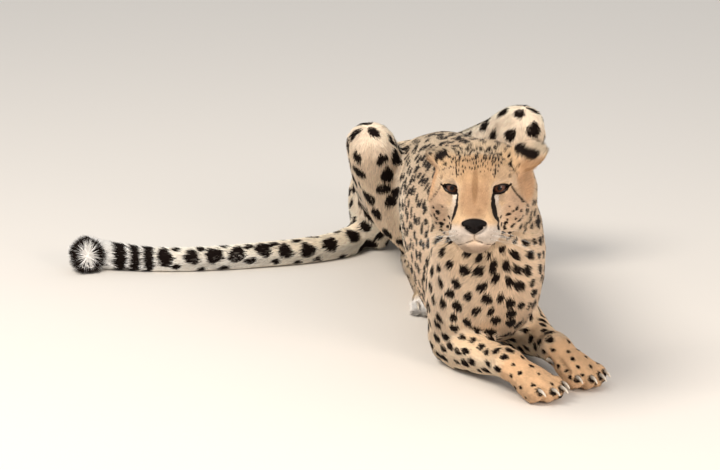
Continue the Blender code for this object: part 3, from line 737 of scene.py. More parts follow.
print("face and toes shaped")

# %% [markdown]
# ## Markings
# A cheetah's spots are single and solid, not rosettes. They are scattered so that each keeps its
# distance from the next, larger on the haunches and smaller on the back, legs and face. A spot is an
# oval stretched along the lie of the coat, with a slightly uneven edge. Skin and fur ask the same
# functions for their colour.

# %% Random places on the skin
mesh = skin.data
mesh.calc_loop_triangles()
triangles = read(mesh.loop_triangles, "vertices", 3, int)
corner = points[triangles]
area = norm(np.cross(corner[:, 1] - corner[:, 0], corner[:, 2] - corner[:, 0]), axis=1) / 2
print("skin area", round(area.sum(), 3), "m2")


def places(count, weight):
    """Random places on the skin: which triangle, and how much of each corner."""
    chosen = rng.choice(len(area), count, p=area * weight / (area * weight).sum())
    r1, r2 = np.sqrt(rng.random(count)), rng.random(count)
    return chosen, np.stack([1 - r1, r1 * (1 - r2), r1 * r2], axis=1)


def at_places(values, chosen, share):
    return np.einsum("ij,ij...->i...", share, values[triangles[chosen]])


# %% Blotches placed on the tail
TAIL_STEP = 42 * MM  # from one blotch to the next along the tail
FIRST_BLOTCH = 157 * MM  # from the tail's end to the first blotch
TAIL_BLOTCHES = 10  # in each row
TAIL_CLEAR = 26 * MM  # no scattered spot comes nearer to a tail blotch
TAIL_SLICE = 8 * MM  # half the slice of tail that is searched for a blotch's place
# Rows: degrees up from the front, shift along the tail in steps, a blotch's width in mm and its stretch
TAIL_ROWS = [(24, 0.0, 27, 1.0), (-34, 0.5, 15, 1.4), (86, 0.5, 15, 1.4), (150, 0.05, 22, 1.0),
             (210, 0.5, 14, 1.3)]


def placed_on_tail():
    """The tail's blotches, in rows along it: place, normal, lie, half size and stretch."""
    tail = made_of("tail_root", "tail_middle", "tail_outer")
    p, n, along = points[tail], normals[tail], lie[tail]
    made = []
    for degrees, shift, wide, stretch in TAIL_ROWS:
        angle = math.radians(degrees)
        out = np.array([0.0, -math.cos(angle), math.sin(angle)])
        for step in range(TAIL_BLOTCHES):
            x = tail_tip.x + FIRST_BLOTCH + TAIL_STEP * (step + shift + rng.uniform(-0.08, 0.08))
            off = np.abs(p[:, 0] - x)
            ring = np.flatnonzero(off < TAIL_SLICE)
            if len(ring):
                around = unit(p[ring] - p[ring].mean(0)) @ out
                best = ring[np.argmax(around - off[ring] * 30)]
                made.append((p[best], n[best], along[best], wide * MM / 2 * rng.uniform(0.9, 1.1), stretch))
    return made


tail_blotches = placed_on_tail()
tail_middles = np.array([blotch[0] for blotch in tail_blotches])
print("blotches on the tail:", len(tail_blotches))


# %% Scatter the spots
SPOT_TRIES = 30000
CELL = 12 * MM  # of the grid that finds the spots already kept near a place
WIDEST_GAP = 50 * MM  # where the gap is wider than this, nothing is scattered


def kept_spots(where, facing, gap):
    """Dart throwing: a spot is kept if it lies far enough from all that are kept."""
    kept, grid = [], {}
    for i, place in enumerate(where):
        if gap[i] > WIDEST_GAP or away_from(place, tail_middles).min() < TAIL_CLEAR:
            continue
        cell = (place // CELL).astype(int)
        reach = int(gap[i] // CELL) + 1
        near = product(*(range(c - reach, c + reach + 1) for c in cell))
        if not any(np.dot(place - where[j], place - where[j]) < (gap[i] * 0.5 + gap[j] * 0.5) ** 2
                   and facing[i] @ facing[j] > 0 for key in near for j in grid.get(key, ())):
            kept.append(i)
            grid.setdefault(tuple(cell), []).append(i)
    return np.array(kept)


def scatter_spots(tries):
    """All the spots, with the tail's: place, normal, lie, half size, stretch and unevenness of the edge."""
    chosen, share = places(tries, np.ones(len(area)))
    where, facing = at_places(points, chosen, share), at_places(normals, chosen, share)
    gap = at_places(field["gap"], chosen, share) * MM * rng.uniform(0.9, 1.15, tries)
    kept = kept_spots(where, facing, gap)
    chosen, share = chosen[kept], share[kept]
    size = at_places(field["spot"], chosen, share) * MM / 2 * rng.uniform(0.78, 1.12, len(kept))
    stretch = at_places(field["stretch"], chosen, share) * rng.uniform(0.9, 1.2, len(kept))
    scattered = (where[kept], unit(facing[kept]), unit(at_places(lie, chosen, share)), size, stretch)
    names = ("at", "normal", "along", "size", "stretch")
    found = {name: np.concatenate([a, b]) for name, a, b in zip(names, scattered, zip(*tail_blotches))}
    found["wobble"] = rng.uniform(0, math.tau, (len(found["at"]), 2))
    return found


spots = scatter_spots(SPOT_TRIES)
spot_tree = KDTree(len(spots["at"]))
for number, place in enumerate(spots["at"]):
    spot_tree.insert(place, number)
spot_tree.balance()
print("spots:", len(spots["at"]))


def spotted(points, facing):
    """How black each point is from the two nearest spots, 0 to 1."""
    black = np.zeros(len(points))
    found = [spot_tree.find_n(p, 2) for p in points]
    for rank in range(2):
        which = np.array([f[rank][1] for f in found])
        at, normal, along, size, stretch, wobble = (values[which] for values in spots.values())
        away, stretch = points - at, np.sqrt(stretch)
        a = (away * along).sum(1) / (size * stretch)
        b = (away * np.cross(normal, along)).sum(1) / (size / stretch)
        angle = np.arctan2(b, a)
        edge = 1 + 0.10 * np.sin(2 * angle + wobble[:, 0]) + 0.07 * np.sin(3 * angle + wobble[:, 1])
        inside = smoothstep(1.08, 0.92, np.hypot(a, b) / edge) * ((facing * normal).sum(1) > 0.1)
        black = np.maximum(black, inside)
    return black


# %% Find the skin in front of a place on the head
skin_tree = BVHTree.FromPolygons([Vector(p) for p in points], triangles.tolist())


def on_skin(x, z):
    """The point of the face's skin in front of a place on the head, in the head's axes."""
    start = HEAD @ Vector((x, -0.25, z))
    hit = skin_tree.ray_cast(start, (HEAD.to_3x3() @ Vector((0, 1, 0))).normalized())[0]
    return in_head(np.array([hit]))[0]


# %% The tear line
# From the eye's inner corner down beside the muzzle: across, up and half width in mm
TEAR = np.array([(26, -4, 3), (26, -12, 3.2), (27.8, -22, 3.6), (30.5, -33, 3.4), (34.5, -43, 2.6),
                 (36.5, -54, 1.7)]) * MM
TEAR_STEPS = 44
TEAR_BOLD = {1: 1.3, -1: 1.05}  # the left one is drawn more boldly
TEAR_DEPTH = 0.36  # how much a distance along the muzzle counts


def tear_path(side):
    """Points of the skin along the tear line, and the line's half width at each."""
    t = np.linspace(0, len(TEAR) - 1, TEAR_STEPS)
    across, up, half = (np.interp(t, np.arange(len(TEAR)), column) for column in TEAR.T)
    return np.array([on_skin(side * x, z) for x, z in zip(across, up)]), half * TEAR_BOLD[side]


tear_paths = [tear_path(side) for side in (1, -1)]
for path, half in tear_paths:
    print("tear line from", (path[0] * 1000).round(1), "to", (path[-1] * 1000).round(1), "mm")


def on_tear(h):
    """How black each point is from the tear line."""
    scale = np.array([1.0, TEAR_DEPTH, 1.0])
    black = np.zeros(len(h))
    for path, half in tear_paths:
        reach = (norm((h[:, None] - path[None]) * scale, axis=2) - half).min(axis=1)
        black = np.maximum(black, smoothstep(0.4 * MM, -0.4 * MM, reach))
    return black


# %% Lines and small marks drawn on the face
# All in mm, on the animal's left; the right side mirrors them
BROW_STREAK = [(28.5, -9, 19), (30, -5, 30)]
CHEEK_LINE = [(52.5, 0, 6.5), (58.4, 7, -5.5), (67.1, 17, -17.6), (70, 24, -22.5), (72.5, 74, -32),
              (75.5, 90, -38.5)]
TEMPLE_LINE = [(52.5, 46, 38.5), (53.5, 36, 30), (64, 30, 18)]
FOREHEAD_LINE = [(0, -46, -10), (0, 0, 30), (0, 20, 44)]
# Each line: points, half width, softness, strength, how much its depth counts, share on the right side
FACE_LINES = [(BROW_STREAK, 1.3, 0.7, 0.85, 0.1, 1.0), (CHEEK_LINE, 1.5, 0.6, 0.95, 0.1, 0.55),
              (TEMPLE_LINE, 1.4, 0.6, 0.8, 0.1, 0.55), (MOUTH / MM, 0.9, 0.5, 0.8, 0.35, 1.0)]
WHISKER_ROWS = [((26.5, -66, -56), (37, -50, -58)), ((26, -66, -62), (37, -50, -65)),
                ((25, -65, -68.5), (35, -50, -72))]
WHISKER_SHARES = (0.0, 0.33, 0.66, 1.0)
WHISKER_ROOTS = [(np.array(a) * MM * (1 - share) + np.array(b) * MM * share, share)
                 for a, b in WHISKER_ROWS for share in WHISKER_SHARES]
# Each mark: across, up and half size
CHEEK_MARKS = [(43, -59, 2.6), (40, -68, 2.3), (48, -48, 1.8), (54, -60, 2.4), (50, -72, 2.2),
               (57, -35, 1.7), (51, -27, 1.3), (60, -48, 2.2)]
FRECKLE_COUNT = 90
FRECKLE_LOW, FRECKLE_HIGH, FRECKLE_OUT, FRECKLE_GAP = 28 * MM, 60 * MM, 36 * MM, 3.4 * MM
OUTER_CORNER = np.array([(0.95 * OPENING_HALF, EYE_SLANT * OPENING_HALF + 1.2 * MM), (18 * MM, 5 * MM)])
# The upper rim is black lid skin widened with painted shade from the upper lid.
RIM_ABOVE_WITH_LID_SHADE, RIM_BELOW = 3.4 * MM, 2.4 * MM  # width of the black rims
RIM_INNER = 2.0 * MM  # how much wider they are at the inner corner


def freckle_places():
    """Small marks on the brow, ever more of them towards the crown: x, z and half size."""
    made = []
    while len(made) < FRECKLE_COUNT:
        x = rng.uniform(-FRECKLE_OUT, FRECKLE_OUT)
        share = math.sqrt(rng.random())
        z = FRECKLE_LOW + (FRECKLE_HIGH - FRECKLE_LOW) * share - 0.25 * abs(x) * (1 - share)
        if all(math.hypot(x - a, (z - b) * 0.6) > FRECKLE_GAP for a, b, _ in made):
            made.append((x, z, rng.uniform(0.9, 1.6) * MM * (0.7 + 0.5 * share)))
    return made


freckles = freckle_places()


def face_marks(h):
    """How black each point of the head is from its lines and the small marks on brow and cheek."""
    x, y, z = h.T
    mm = h / MM
    marks = [on_tear(h)]
    for line, half, soft, strength, depth, on_right in FACE_LINES:
        drawn = smoothstep(half + soft, half - soft, near_line(mm, np.array(line), depth)) * strength
        marks.append(drawn * np.where(x > 0, 1.0, on_right))
    middle = smoothstep(1.8, 0.4, near_line(mm, np.array(FOREHEAD_LINE), 0.5))
    marks.append(middle * np.interp(z, (-0.01, 0.02, 0.034), (0.15, 0.4, 0.8)))
    for a, b, half in freckles:
        reach = np.hypot(x - a, (z - b) * 0.6)
        marks.append(smoothstep(half * 1.3, half * 0.7, reach) * 0.9 * (y < 0.07))
    for a, b, half in CHEEK_MARKS:
        reach = np.hypot(np.abs(mm[:, 0]) - a, (mm[:, 2] - b) * 0.8)
        marks.append(smoothstep(half + 0.4, half - 0.4, reach) * 0.9 * (y < 0.05))
    for root, _ in WHISKER_ROOTS:
        reach = np.hypot(np.abs(x) - root[0], z - root[2])
        marks.append(smoothstep(1.2 * MM, 0.5 * MM, reach) * 0.5 * (y < -0.03))
    return np.max(marks, axis=0)


def eye_rims(points):
    """Black skin along the lids, wider at both corners. Above the opening it is wider still: painted shade
    from the upper lid.
    """
    black = np.zeros(len(points))
    for eye in EYES:
        u, v, w = eye.local(points)
        wide = np.where(v > EYE_SLANT * u, RIM_ABOVE_WITH_LID_SHADE, RIM_BELOW)
        wide = wide + RIM_INNER * smoothstep(0.5, 1.0, -u / OPENING_HALF)
        rim = smoothstep(wide, wide * 0.6, outside_opening(u, v))
        corner = smoothstep(1.8 * MM, 0.9 * MM, off_line(np.stack([u, v], axis=1), OUTER_CORNER))
        black = np.maximum(black, np.maximum(rim, corner) * (w > 0) * (np.hypot(u, v) < 0.026))
    return black


# %% Soft patches of colour
# Each patch: centre and radii in the head's axes in mm, colour, strength. The other side mirrors them.
PATCHES = [
    ((0, -10, 30), (40, 60, 26), "#B8946E", 0.85),
    ((0, -50, -18), (24, 40, 32), "#A28060", 0.9),
    ((0, -40, 8), (4.8, 50, 30), "#805C3A", 0.55),
    ((37, 0, 21), (19, 30, 11), "#C0A282", 0.7),
    ((14, -40, -4), (7, 40, 22), "#B08C6A", 0.6),
    ((42, -6, -14.5), (18, 20, 8.5), "#B0977C", 0.85),
    ((30, -22, -15), (4.6, 30, 15), "#E6D8C8", 0.9),
    ((33, -34, -30), (5.6, 30, 13), "#CCB59C", 0.85),
    ((56, 0, -30), (20, 30, 28), "#BE9E82", 0.75),
    ((22, -66, -62), (25, 32, 16), "#C4B6A8", 1.0),
    # The next two patches darken the chin and the underside of the jaw: painted shade under the head.
    ((0, -60, -88), (30, 35, 13), "#9A8470", 0.9),
    ((0, -10, -88), (50, 50, 18), "#AE947A", 0.8),
    ((72, 60, 0), (24, 50, 36), "#C99C74", 0.85),
    ((0, 60, 55), (45, 40, 20), "#C4B094", 0.8),
    ((100, 50, 56), (20, 30, 14), "#B8A890", 0.85),
    ((88, 45, 26), (28, 30, 14), "#A07A56", 0.8),
]
HIND_TUFT_COLOUR = "#FBF5EE"


def blob(h, centre, radii):
    """A soft-edged patch: 1 in the middle, 0 outside, on both sides of the head."""
    p = h / MM
    p[:, 0] = np.abs(p[:, 0])
    return smoothstep(1.25, 0.65, norm((p - centre) / radii, axis=1))


def in_hind_tuft(points):
    return smoothstep(HIND_TUFT_REACH, HIND_TUFT_REACH * 0.6, away_from(HIND_TUFT, points))


def mixed(colour, other, share):
    share = share[:, None]
    return colour * (1 - share) + other * share


def base_colours(points, facing, back, belly):
    """The coat's ground colour, without its spots. It holds the painted shade under the chin and jaw and
    the darker right ear.
    """
    colour = mixed(belly, back, smoothstep(-0.2, 0.7, facing[:, 2]))
    h = in_head(points)
    for centre, radii, hex_colour, strength in PATCHES:
        share = blob(h, centre, radii) * strength * (h[:, 1] < 0.13)
        colour = mixed(colour, np.array(linear(hex_colour)), share)
    return mixed(colour, np.array(linear(HIND_TUFT_COLOUR)), in_hind_tuft(points))


# %% All the dark markings together
COAT_BLACK = np.array(linear("#150A05"))
# Centre and radii in the head's axes, in mm
EAR_PATCHES = [((83.5, 45, 47), (12.5, 20, 7.8)), ((66.5, 60, 53.5), (9.5, 20, 8.5)),
               ((75, 52, 50), (10, 20, 7.5)), ((-56, 56, 44), (10, 20, 6.5))]
WITHOUT_SPOTS = [((0, -50, -20), (42, 70, 50)), ((0, -60, -70), (54, 55, 34)), ((0, -10, 16), (56, 40, 36)),
                 ((40, -10, -18), (26, 40, 20)), ((74, 60, 0), (28, 95, 36))]
# The tail's end: the white of the brush and the black round it, then rings, in m from the end: middle
# and half width
BRUSH_WHITE, BRUSH_BLACK = 24 * MM, 36.5 * MM
RINGS = [(0.0828, 0.0106), (0.1078, 0.0084), (0.1306, 0.0086)]
BRUSH_SHAPE = (1.05, 0.8, 0.8)  # how much a distance from the brush's middle counts each way
TOE_BLACK = 0.8  # the coat is darkened round each claw's base


def tail_black(points):
    s = points[:, 0] - tail_tip.x
    rings = [smoothstep(half * 1.15, half * 0.9, np.abs(s - middle)) for middle, half in RINGS]
    from_end = norm((points - TAIL_END) * BRUSH_SHAPE, axis=1)
    tuft = smoothstep(BRUSH_WHITE - MM, BRUSH_WHITE + MM, from_end)
    tuft *= smoothstep(BRUSH_BLACK + MM, BRUSH_BLACK - MM, from_end)
    return np.where(s < 0.25, np.maximum(np.max(rings, axis=0) * (from_end > BRUSH_BLACK), tuft), 0)


def blackness(points, facing):
    """All the dark markings together, 0 to 1, with the painted shade along the upper lids."""
    h = in_head(points)
    black = spotted(points, facing)
    for centre, radii in WITHOUT_SPOTS:
        black = black * (1 - blob(h, centre, radii) * (h[:, 1] < 0.13))
    face = (h[:, 1] < 0.10) & (np.abs(h[:, 0]) < 0.09) & (h[:, 2] > -0.12)
    black[face] = np.max([black[face], face_marks(h[face]), eye_rims(points[face])], axis=0)
    for centre, radii in EAR_PATCHES:
        reach = norm((h / MM - centre) / radii, axis=1)
        black = np.maximum(black, smoothstep(1.15, 0.85, reach))
    low = points[:, 2] < 50 * MM
    toes = np.min([away_from(base, points[low]) for base in claw_base], axis=0)
    black[low] = np.maximum(black[low], smoothstep(9 * MM, 5 * MM, toes) * TOE_BLACK)
    return np.maximum(black * (1 - in_hind_tuft(points)), tail_black(points))


# %% Colour the skin
SKIN_SHADE = 0.9  # the skin is a little darker than the hair over it
UNEVEN = 0.035  # how strongly the tone drifts
# Painted shade: the skin is darkened in the grooves between the toes.
TOE_GROOVE_PAINTED_SHADE = 0.55


def colour_attribute(mesh, colours):
    """Stores a colour for every point."""
    attribute = mesh.color_attributes.new("coat_colour", "FLOAT_COLOR", "POINT")
    flat = np.ones((len(mesh.vertices), 4), np.float32)
    flat[:, :3] = np.clip(colours, 0, 1)
    attribute.data.foreach_set("color", flat.ravel())


def drifting(steps):
    """A smooth random value over the skin: the more steps, the broader its patches."""
    value = spread(rng.normal(0, 1, (len(points), 1)), edges, steps)[:, 0]
    return value / value.std()


uneven = drifting(60) + drifting(6)  # broad drifts of tone, and small mottling
black = blackness(points, normals)
ground = base_colours(points, normals, back_colour, belly_colour) * (1 + UNEVEN * uneven[:, None])
skin_colour = mixed(ground * SKIN_SHADE, COAT_BLACK, black)
colour_attribute(skin.data, skin_colour * (1 - TOE_GROOVE_PAINTED_SHADE * toe_gap)[:, None])
print("skin coloured; black share", round(float(black.mean()), 3))


# %% Skin material
def painted(material):
    """The colour that is stored on the points."""
    return add_node(material, "ShaderNodeVertexColor", {"layer_name": "coat_colour"}).outputs["Color"]


def coat_material(name, roughness, sheen):
    """Hair: dull, with a faint sheen and almost no gloss. Its colour is painted on the points."""
    material, shader = new_material(name, "#E6C9A2", roughness, Sheen_Weight=sheen, Specular_IOR_Level=0.12)
    feed(shader, Base_Color=painted(material))
    return material, shader


skin_material, skin_shader = coat_material("short_fur_on_skin", 0.85, 0.02)
grain = noise(skin_material, Scale=900.0, Detail=3.0)
bump = add_node(skin_material, "ShaderNodeBump", Height=grain, Strength=0.4, Distance=0.0006)
feed(skin_shader, Normal=bump.outputs["Normal"])
skin.data.materials.clear()
skin.data.materials.append(skin_material)
skin.data.shade_smooth()
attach(skin, "root")
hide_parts(*[n for n in FLESH if not n.startswith(("eye", "nose"))])

# %% [markdown]
# ## A flat map of the skin
# The skin is unwrapped once, so that it and every tuft rooted on it know their place on one flat map.

# %% Unwrap
only(skin)
bpy.ops.object.mode_set(mode="EDIT")
bpy.ops.mesh.select_all(action="SELECT")
bpy.ops.uv.smart_project(angle_limit=math.radians(66), island_margin=0.001)
bpy.ops.object.mode_set(mode="OBJECT")
skin.data.uv_layers[0].name = "OFBake"
skin_uv = read(skin.data.uv_layers[0].data, "uv", 2).reshape(-1, 3, 2)
a, b = skin_uv[:, 1] - skin_uv[:, 0], skin_uv[:, 2] - skin_uv[:, 0]
covered = np.abs(a[:, 0] * b[:, 1] - a[:, 1] * b[:, 0]).sum() / 2
print("the flat map covers", round(float(covered), 2), "of its square")

# %% [markdown]
# ## Fur
# A tuft is a thin closed spike: three points at its root and one at its tip. It starts on the skin, lies
# along the coat and rises just enough that its tip reaches the animal's outline. All the tufts of a
# region are one mesh.

# %% Grow the tufts
TUFT_FACES = np.array([(0, 3, 2), (2, 3, 1), (1, 3, 0), (0, 2, 1)])
TUFT_PATCH = np.array([(-1, -1), (1, -1), (0, 0), (0, 1.4)]) * 0.0015  # on the flat map
FUR_TRIANGLES = 1_450_000
SOFTNESS = 0.6  # how far a tuft's shading follows the skin under it
SEEN_SHARE = 0.75  # the part of a tuft that shows from under the next ones
SWING = 0.16  # how far tufts stray from the lie of the coat
ROOT_DEEP, TIP_LOWEST = 0.3 * MM, 0.5 * MM
# Each tuft's root is darkened as painted shade deep in the coat, and its tip is lightened as painted light.
ROOT_PAINTED_SHADE, TIP_PAINTED_LIGHT = 0.86, 1.08


def tuft_mesh(name, chosen, share):
    count = len(chosen)

    def here(values):
        return at_places(values, chosen, share)

    def size(column, least, most):
        return (here(field[column]) * MM * rng.uniform(least, most, count))[:, None]

    root, out, along = here(points), unit(here(normals)), unit(here(lie))
    length, depth, width = size("length", 0.85, 1.15), size("depth", 0.8, 1.1), size("width", 0.8, 1.3)
    swing = rng.normal(0, SWING, count)[:, None]
    along = unit(along * np.cos(swing) + np.cross(out, along) * np.sin(swing))
    across = np.cross(out, along) * width / 2
    rise = np.clip(depth * 0.95 / length, 0.08, 0.8)
    tip = root + along * (length * np.sqrt(1 - rise ** 2)) + out * (length * rise)
    tip[:, 2] = np.maximum(tip[:, 2], TIP_LOWEST)
    deep = out * ROOT_DEEP
    keel = root + out * (width * 0.45) + along * width
    corners = np.stack([root - across - deep, root + across - deep, keel, tip], axis=1)
    faces = (TUFT_FACES[None] + np.arange(count)[:, None, None] * 4).reshape(-1, 3)
    mesh = bpy.data.meshes.new(name)
    mesh.vertices.add(count * 4)
    mesh.vertices.foreach_set("co", corners.ravel())
    mesh.loops.add(len(faces) * 3)
    mesh.loops.foreach_set("vertex_index", faces.ravel())
    mesh.polygons.add(len(faces))
    mesh.polygons.foreach_set("loop_start", np.arange(len(faces)) * 3)
    mesh.update(calc_edges=True)
    mesh.shade_smooth()
    soft = unit(normals_of(mesh).reshape(-1, 4, 3) * (1 - SOFTNESS) + out[:, None] * SOFTNESS)
    mesh.normals_split_custom_set_from_vertices(soft.reshape(-1, 3))
    shade = 1 + 0.13 * rng.normal(0, 1, count) + UNEVEN * here(uneven)
    ground = base_colours(root, out, here(back_colour), here(belly_colour)) * shade[:, None]
    threshold = rng.uniform(0.3, 0.7, count)
    dark = (blackness(root + along * (length * SEEN_SHARE), out) > threshold)[:, None]
    low, high = (np.where(dark, COAT_BLACK, ground * tone) for tone in (ROOT_PAINTED_SHADE, TIP_PAINTED_LIGHT))
    colour_attribute(mesh, np.stack([low, low, low, high], axis=1).reshape(-1, 3))
    middle = np.einsum("ij,ijk->ik", share, skin_uv[chosen])
    patches = middle[:, None, None, :] + TUFT_PATCH[TUFT_FACES][None]
    mesh.uv_layers.new(name="OFBake").data.foreach_set("uv", patches.ravel())
    return new_object(name, mesh)


fur_weight = field["per_cm2"][triangles].mean(1)
bald = no_fur[triangles].any(1) | (points[triangles][:, :, 2].min(1) < 2.5 * MM)
fur_weight[bald] = 0
chosen, share = places(FUR_TRIANGLES // 4, fur_weight)
print("tufts per square centimetre:", round(len(chosen) / area.sum() / 1e4, 1))

# %% One coat piece for each region
COAT_PIECES = {
    "coat_face": ("head", "lower_jaw", "nose_pad", *both("eye", "ear")),
    "coat_neck": ("neck",),
    "coat_chest": ("chest",),
    "coat_loins": ("loin", "pelvis"),
    "coat_shoulders": both("upper_arm"),
    "coat_forelegs": both("forearm", "fore_paw"),
    "coat_haunches": both("thigh", "shank"),
    "coat_feet": both("hind_foot", "hind_paw"),
    "coat_tail": ("tail_root", "tail_middle", "tail_outer", "tail_tip"),
}
MOST_TUFTS = 46_000  # in one piece, so that it stays well under 200,000 triangles
fur_material, _ = coat_material("guard_hair", 0.8, 0.02)
rooted_on = triangles[chosen][:, 0]
for name, members in COAT_PIECES.items():
    mine = np.flatnonzero(made_of(*members)[rooted_on])
    mine = mine[np.argsort(at_places(points, chosen[mine], share[mine])[:, 0])]
    shares = np.array_split(mine, math.ceil(len(mine) / MOST_TUFTS))
    for number, part in enumerate(shares, 1):
        tufts = tuft_mesh(name if len(shares) == 1 else f"{name}_{number}", chosen[part], share[part])
        tufts.data.materials.append(fur_material)
        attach(tufts, "root")
        print(tufts.name, len(part) * 4, "triangles")

# %% [markdown]
# ## Eyes
# A cheetah's eye is amber brown, with a round pupil and a dark ring round the iris. The ball is a sphere
# with the cornea's low bulge in front. Its colours come from the distance to the line of sight, so they
# stay round.

# %% Model the eyeballs
GAZE_OUT = 0.10
CORNEA_HIGH, CORNEA_WIDE = 0.9 * MM, 8.5 * MM
BALL_GAP = 0.1 * MM


def new_ball(name, segments, rings, radius):
    bpy.ops.mesh.primitive_uv_sphere_add(segments=segments, ring_count=rings, radius=radius)
    ball = bpy.context.object
    ball.name = ball.data.name = name
    return ball, points_of(ball.data)


def eye_ball(name, side):
    """An eyeball whose pole looks along the line of sight, with a flat map of distance from that line."""
    ball, p = new_ball(name, 64, 48, EYE_RADIUS - BALL_GAP)
    share = np.maximum(1 - (np.hypot(p[:, 0], p[:, 1]) / CORNEA_WIDE) ** 2, 0)
    p[:, 2] += CORNEA_HIGH * share ** 1.5 * (p[:, 2] > 0)
    ball.data.uv_layers.remove(ball.data.uv_layers[0])
    corner = read(ball.data.loops, "vertex_index", 1, int)[:, 0]
    flat = p[corner, :2] / (2 * EYE_RADIUS) + 0.5
    ball.data.uv_layers.new(name="gaze").data.foreach_set("uv", flat.ravel())
    axes = np.array(eye_frame(side, (GAZE_OUT, -1.0, 0.0)))
    put_points(ball.data, np.array(middle_of(name.removesuffix("_ball"))) + p @ axes)
    return ball


eye_balls = [eye_ball("eye_left_ball", 1), eye_ball("eye_right_ball", -1)]
print("eyeballs of radius", round(EYE_RADIUS * 1000, 1), "mm")


# %% Eye material
PUPIL, IRIS, LIMBUS = (size * MM / EYE_RADIUS for size in (3.0, 8.0, 9.2))  # radii, in eyeballs
# Wet eye: nearly mirror-smooth, so that it catches one small bright highlight.
eye_material, eye_shader = new_material("wet_eye", "#7A4A26", 0.12, Specular_IOR_Level=0.15,
                                        Coat_Weight=0.2, Coat_Roughness=0.03)
flat_map = add_node(eye_material, "ShaderNodeUVMap", {"uv_map": "gaze"})
offset = add_node(eye_material, "ShaderNodeVectorMath", {"operation": "SUBTRACT"},
                  in0=flat_map.outputs["UV"], in1=(0.5, 0.5, 0)).outputs["Vector"]
reach = add_node(eye_material, "ShaderNodeVectorMath", {"operation": "LENGTH"}, in0=offset).outputs["Value"]
from_sight = add_node(eye_material, "ShaderNodeMath", {"operation": "MULTIPLY"}, in0=reach, in1=2.0)
iris = colour_ramp(eye_material, from_sight.outputs["Value"], [
    (0.0, "#070403"), (PUPIL, "#070403"), (PUPIL + 0.03, "#4A2A18"), (0.62 * IRIS, "#7A5442"),
    (IRIS, "#50342A"), (LIMBUS, "#120906"), (0.75, "#1E110B")])
spoke = add_node(eye_material, "ShaderNodeVectorMath", {"operation": "NORMALIZE"}, in0=offset)
fibres = noise(eye_material, Vector=spoke.outputs["Vector"], Scale=9.0, Detail=4.0)
tone = colour_ramp(eye_material, fibres, [(0.3, "#8A7A70"), (0.7, "#FFFFFF")])
feed(eye_shader, Base_Color=multiplied(eye_material, 0.8, iris, tone))
for ball, side in zip(eye_balls, SIDES):
    ball.data.materials.append(eye_material)
    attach(ball, "root")
    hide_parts(f"eye_{side}")

# %% [markdown]
# ## The lids' wet rims
# The edge of each lid is bare black skin, moist where it meets the eye. A thin tube runs round the
# opening.

# %% Draw the rims
RIM_RADIUS, RIM_STEPS = 0.9 * MM, 28
RIM_LIFT = 0.2 * MM  # off the eyeball


def tubes(name, paths, closed):
    """Round tubes along paths of (points, radii), as one mesh."""
    curve = bpy.data.curves.new(name, "CURVE")
    curve.dimensions, curve.bevel_depth, curve.bevel_resolution = "3D", 1.0, 2
    curve.use_fill_caps = not closed
    for path, radii in paths:
        spline = curve.splines.new("POLY")
        spline.points.add(len(path) - 1)
        spline.use_cyclic_u = closed
        for point, place, radius in zip(spline.points, path, radii):
            point.co, point.radius = (*place, 1.0), radius
    only(new_object(name, curve))
    bpy.ops.object.convert(target="MESH")
    bpy.context.object.data.shade_smooth()
    return bpy.context.object


def rim_path(eye):
    u = OPENING_HALF * np.sin(np.linspace(-math.pi / 2, math.pi / 2, RIM_STEPS))
    upper, lower = opening_edges(u)
    u, v = np.concatenate([u, u[-2:0:-1]]), np.concatenate([upper, lower[-2:0:-1]])
    w = np.sqrt(np.maximum((EYE_RADIUS + RIM_LIFT) ** 2 - u ** 2 - v ** 2, 0))
    return eye.world(u, v, w), np.full(len(u), RIM_RADIUS)


rims = tubes("eye_rims", [rim_path(eye) for eye in EYES], closed=True)
# Bare wet skin: black, with a soft gloss.
rim_material, rim_shader = new_material("wet_lid", "#120C0A", 0.3)
rim_grain = noise(rim_material, Scale=600.0, Detail=2.0)
feed(rim_shader, Base_Color=colour_ramp(rim_material, rim_grain, [(0.3, "#0C0706"), (0.7, "#1C1310")]))
rims.data.materials.append(rim_material)
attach(rims, "root")
print("lid rims:", len(rims.data.polygons), "faces")

# %% [markdown]
# ## The nose pad
# Bare leather, broad at the top and narrow below, with a comma-shaped nostril on each side and a groove
# down the middle. It starts as a sphere that is squared, narrowed and pressed in.

# %% Model the nose
NOSE_HALF, NOSE_HIGH, NOSE_DEEP = 19.5 * MM, 11.3 * MM, 9.5 * MM
NOSE_SET_BACK = 1.8 * MM  # so that the pad ends the muzzle's profile without bulging out of it
NOSTRIL = np.array([(0.46, -0.16), (0.62, -0.02), (0.84, -0.16)])  # in shares of the half sizes
NOSTRIL_WIDE, NOSTRIL_DEEP = 0.15, 5.0 * MM
GROOVE_WIDE, GROOVE_DEEP = 1.1 * MM, 1.3 * MM
WING_HIGH = 0.8 * MM  # the swelling round each nostril

nose, p = new_ball("nose_leather", 96, 64, 1)
x, y, z = p.T
x = x * (0.84 + 0.55 * z) * (1 - 0.10 * smoothstep(0.6, 1.0, z))
z = np.sign(z) * np.abs(z) ** 0.85 - 0.10 * np.abs(x) ** 2 * (z > 0)
y = np.sign(y) * np.abs(y) ** 0.7
hole = off_line(np.stack([np.abs(x), z], axis=1), NOSTRIL, taper=0.35)
inward = NOSTRIL_DEEP * bump_at(hole, 0, NOSTRIL_WIDE) - WING_HIGH * bump_at(hole, 0.30, 0.12)
inward += GROOVE_DEEP * bump_at(x * NOSE_HALF, 0, GROOVE_WIDE) * smoothstep(0.3, -0.4, z)
shape = np.stack([x * NOSE_HALF, y * NOSE_DEEP + inward * (y < 0), z * NOSE_HIGH], axis=1)
nose_box = in_head(points_of(nodes["nose_pad"].data))
low, high = nose_box.min(0), nose_box.max(0)
put_points(nose.data, from_head(shape + (0, low[1] + NOSE_DEEP + NOSE_SET_BACK, (low[2] + high[2]) / 2)))
print("nose pad from", (low * 1000).round(1), "to", (high * 1000).round(1), "mm in the head's axes")

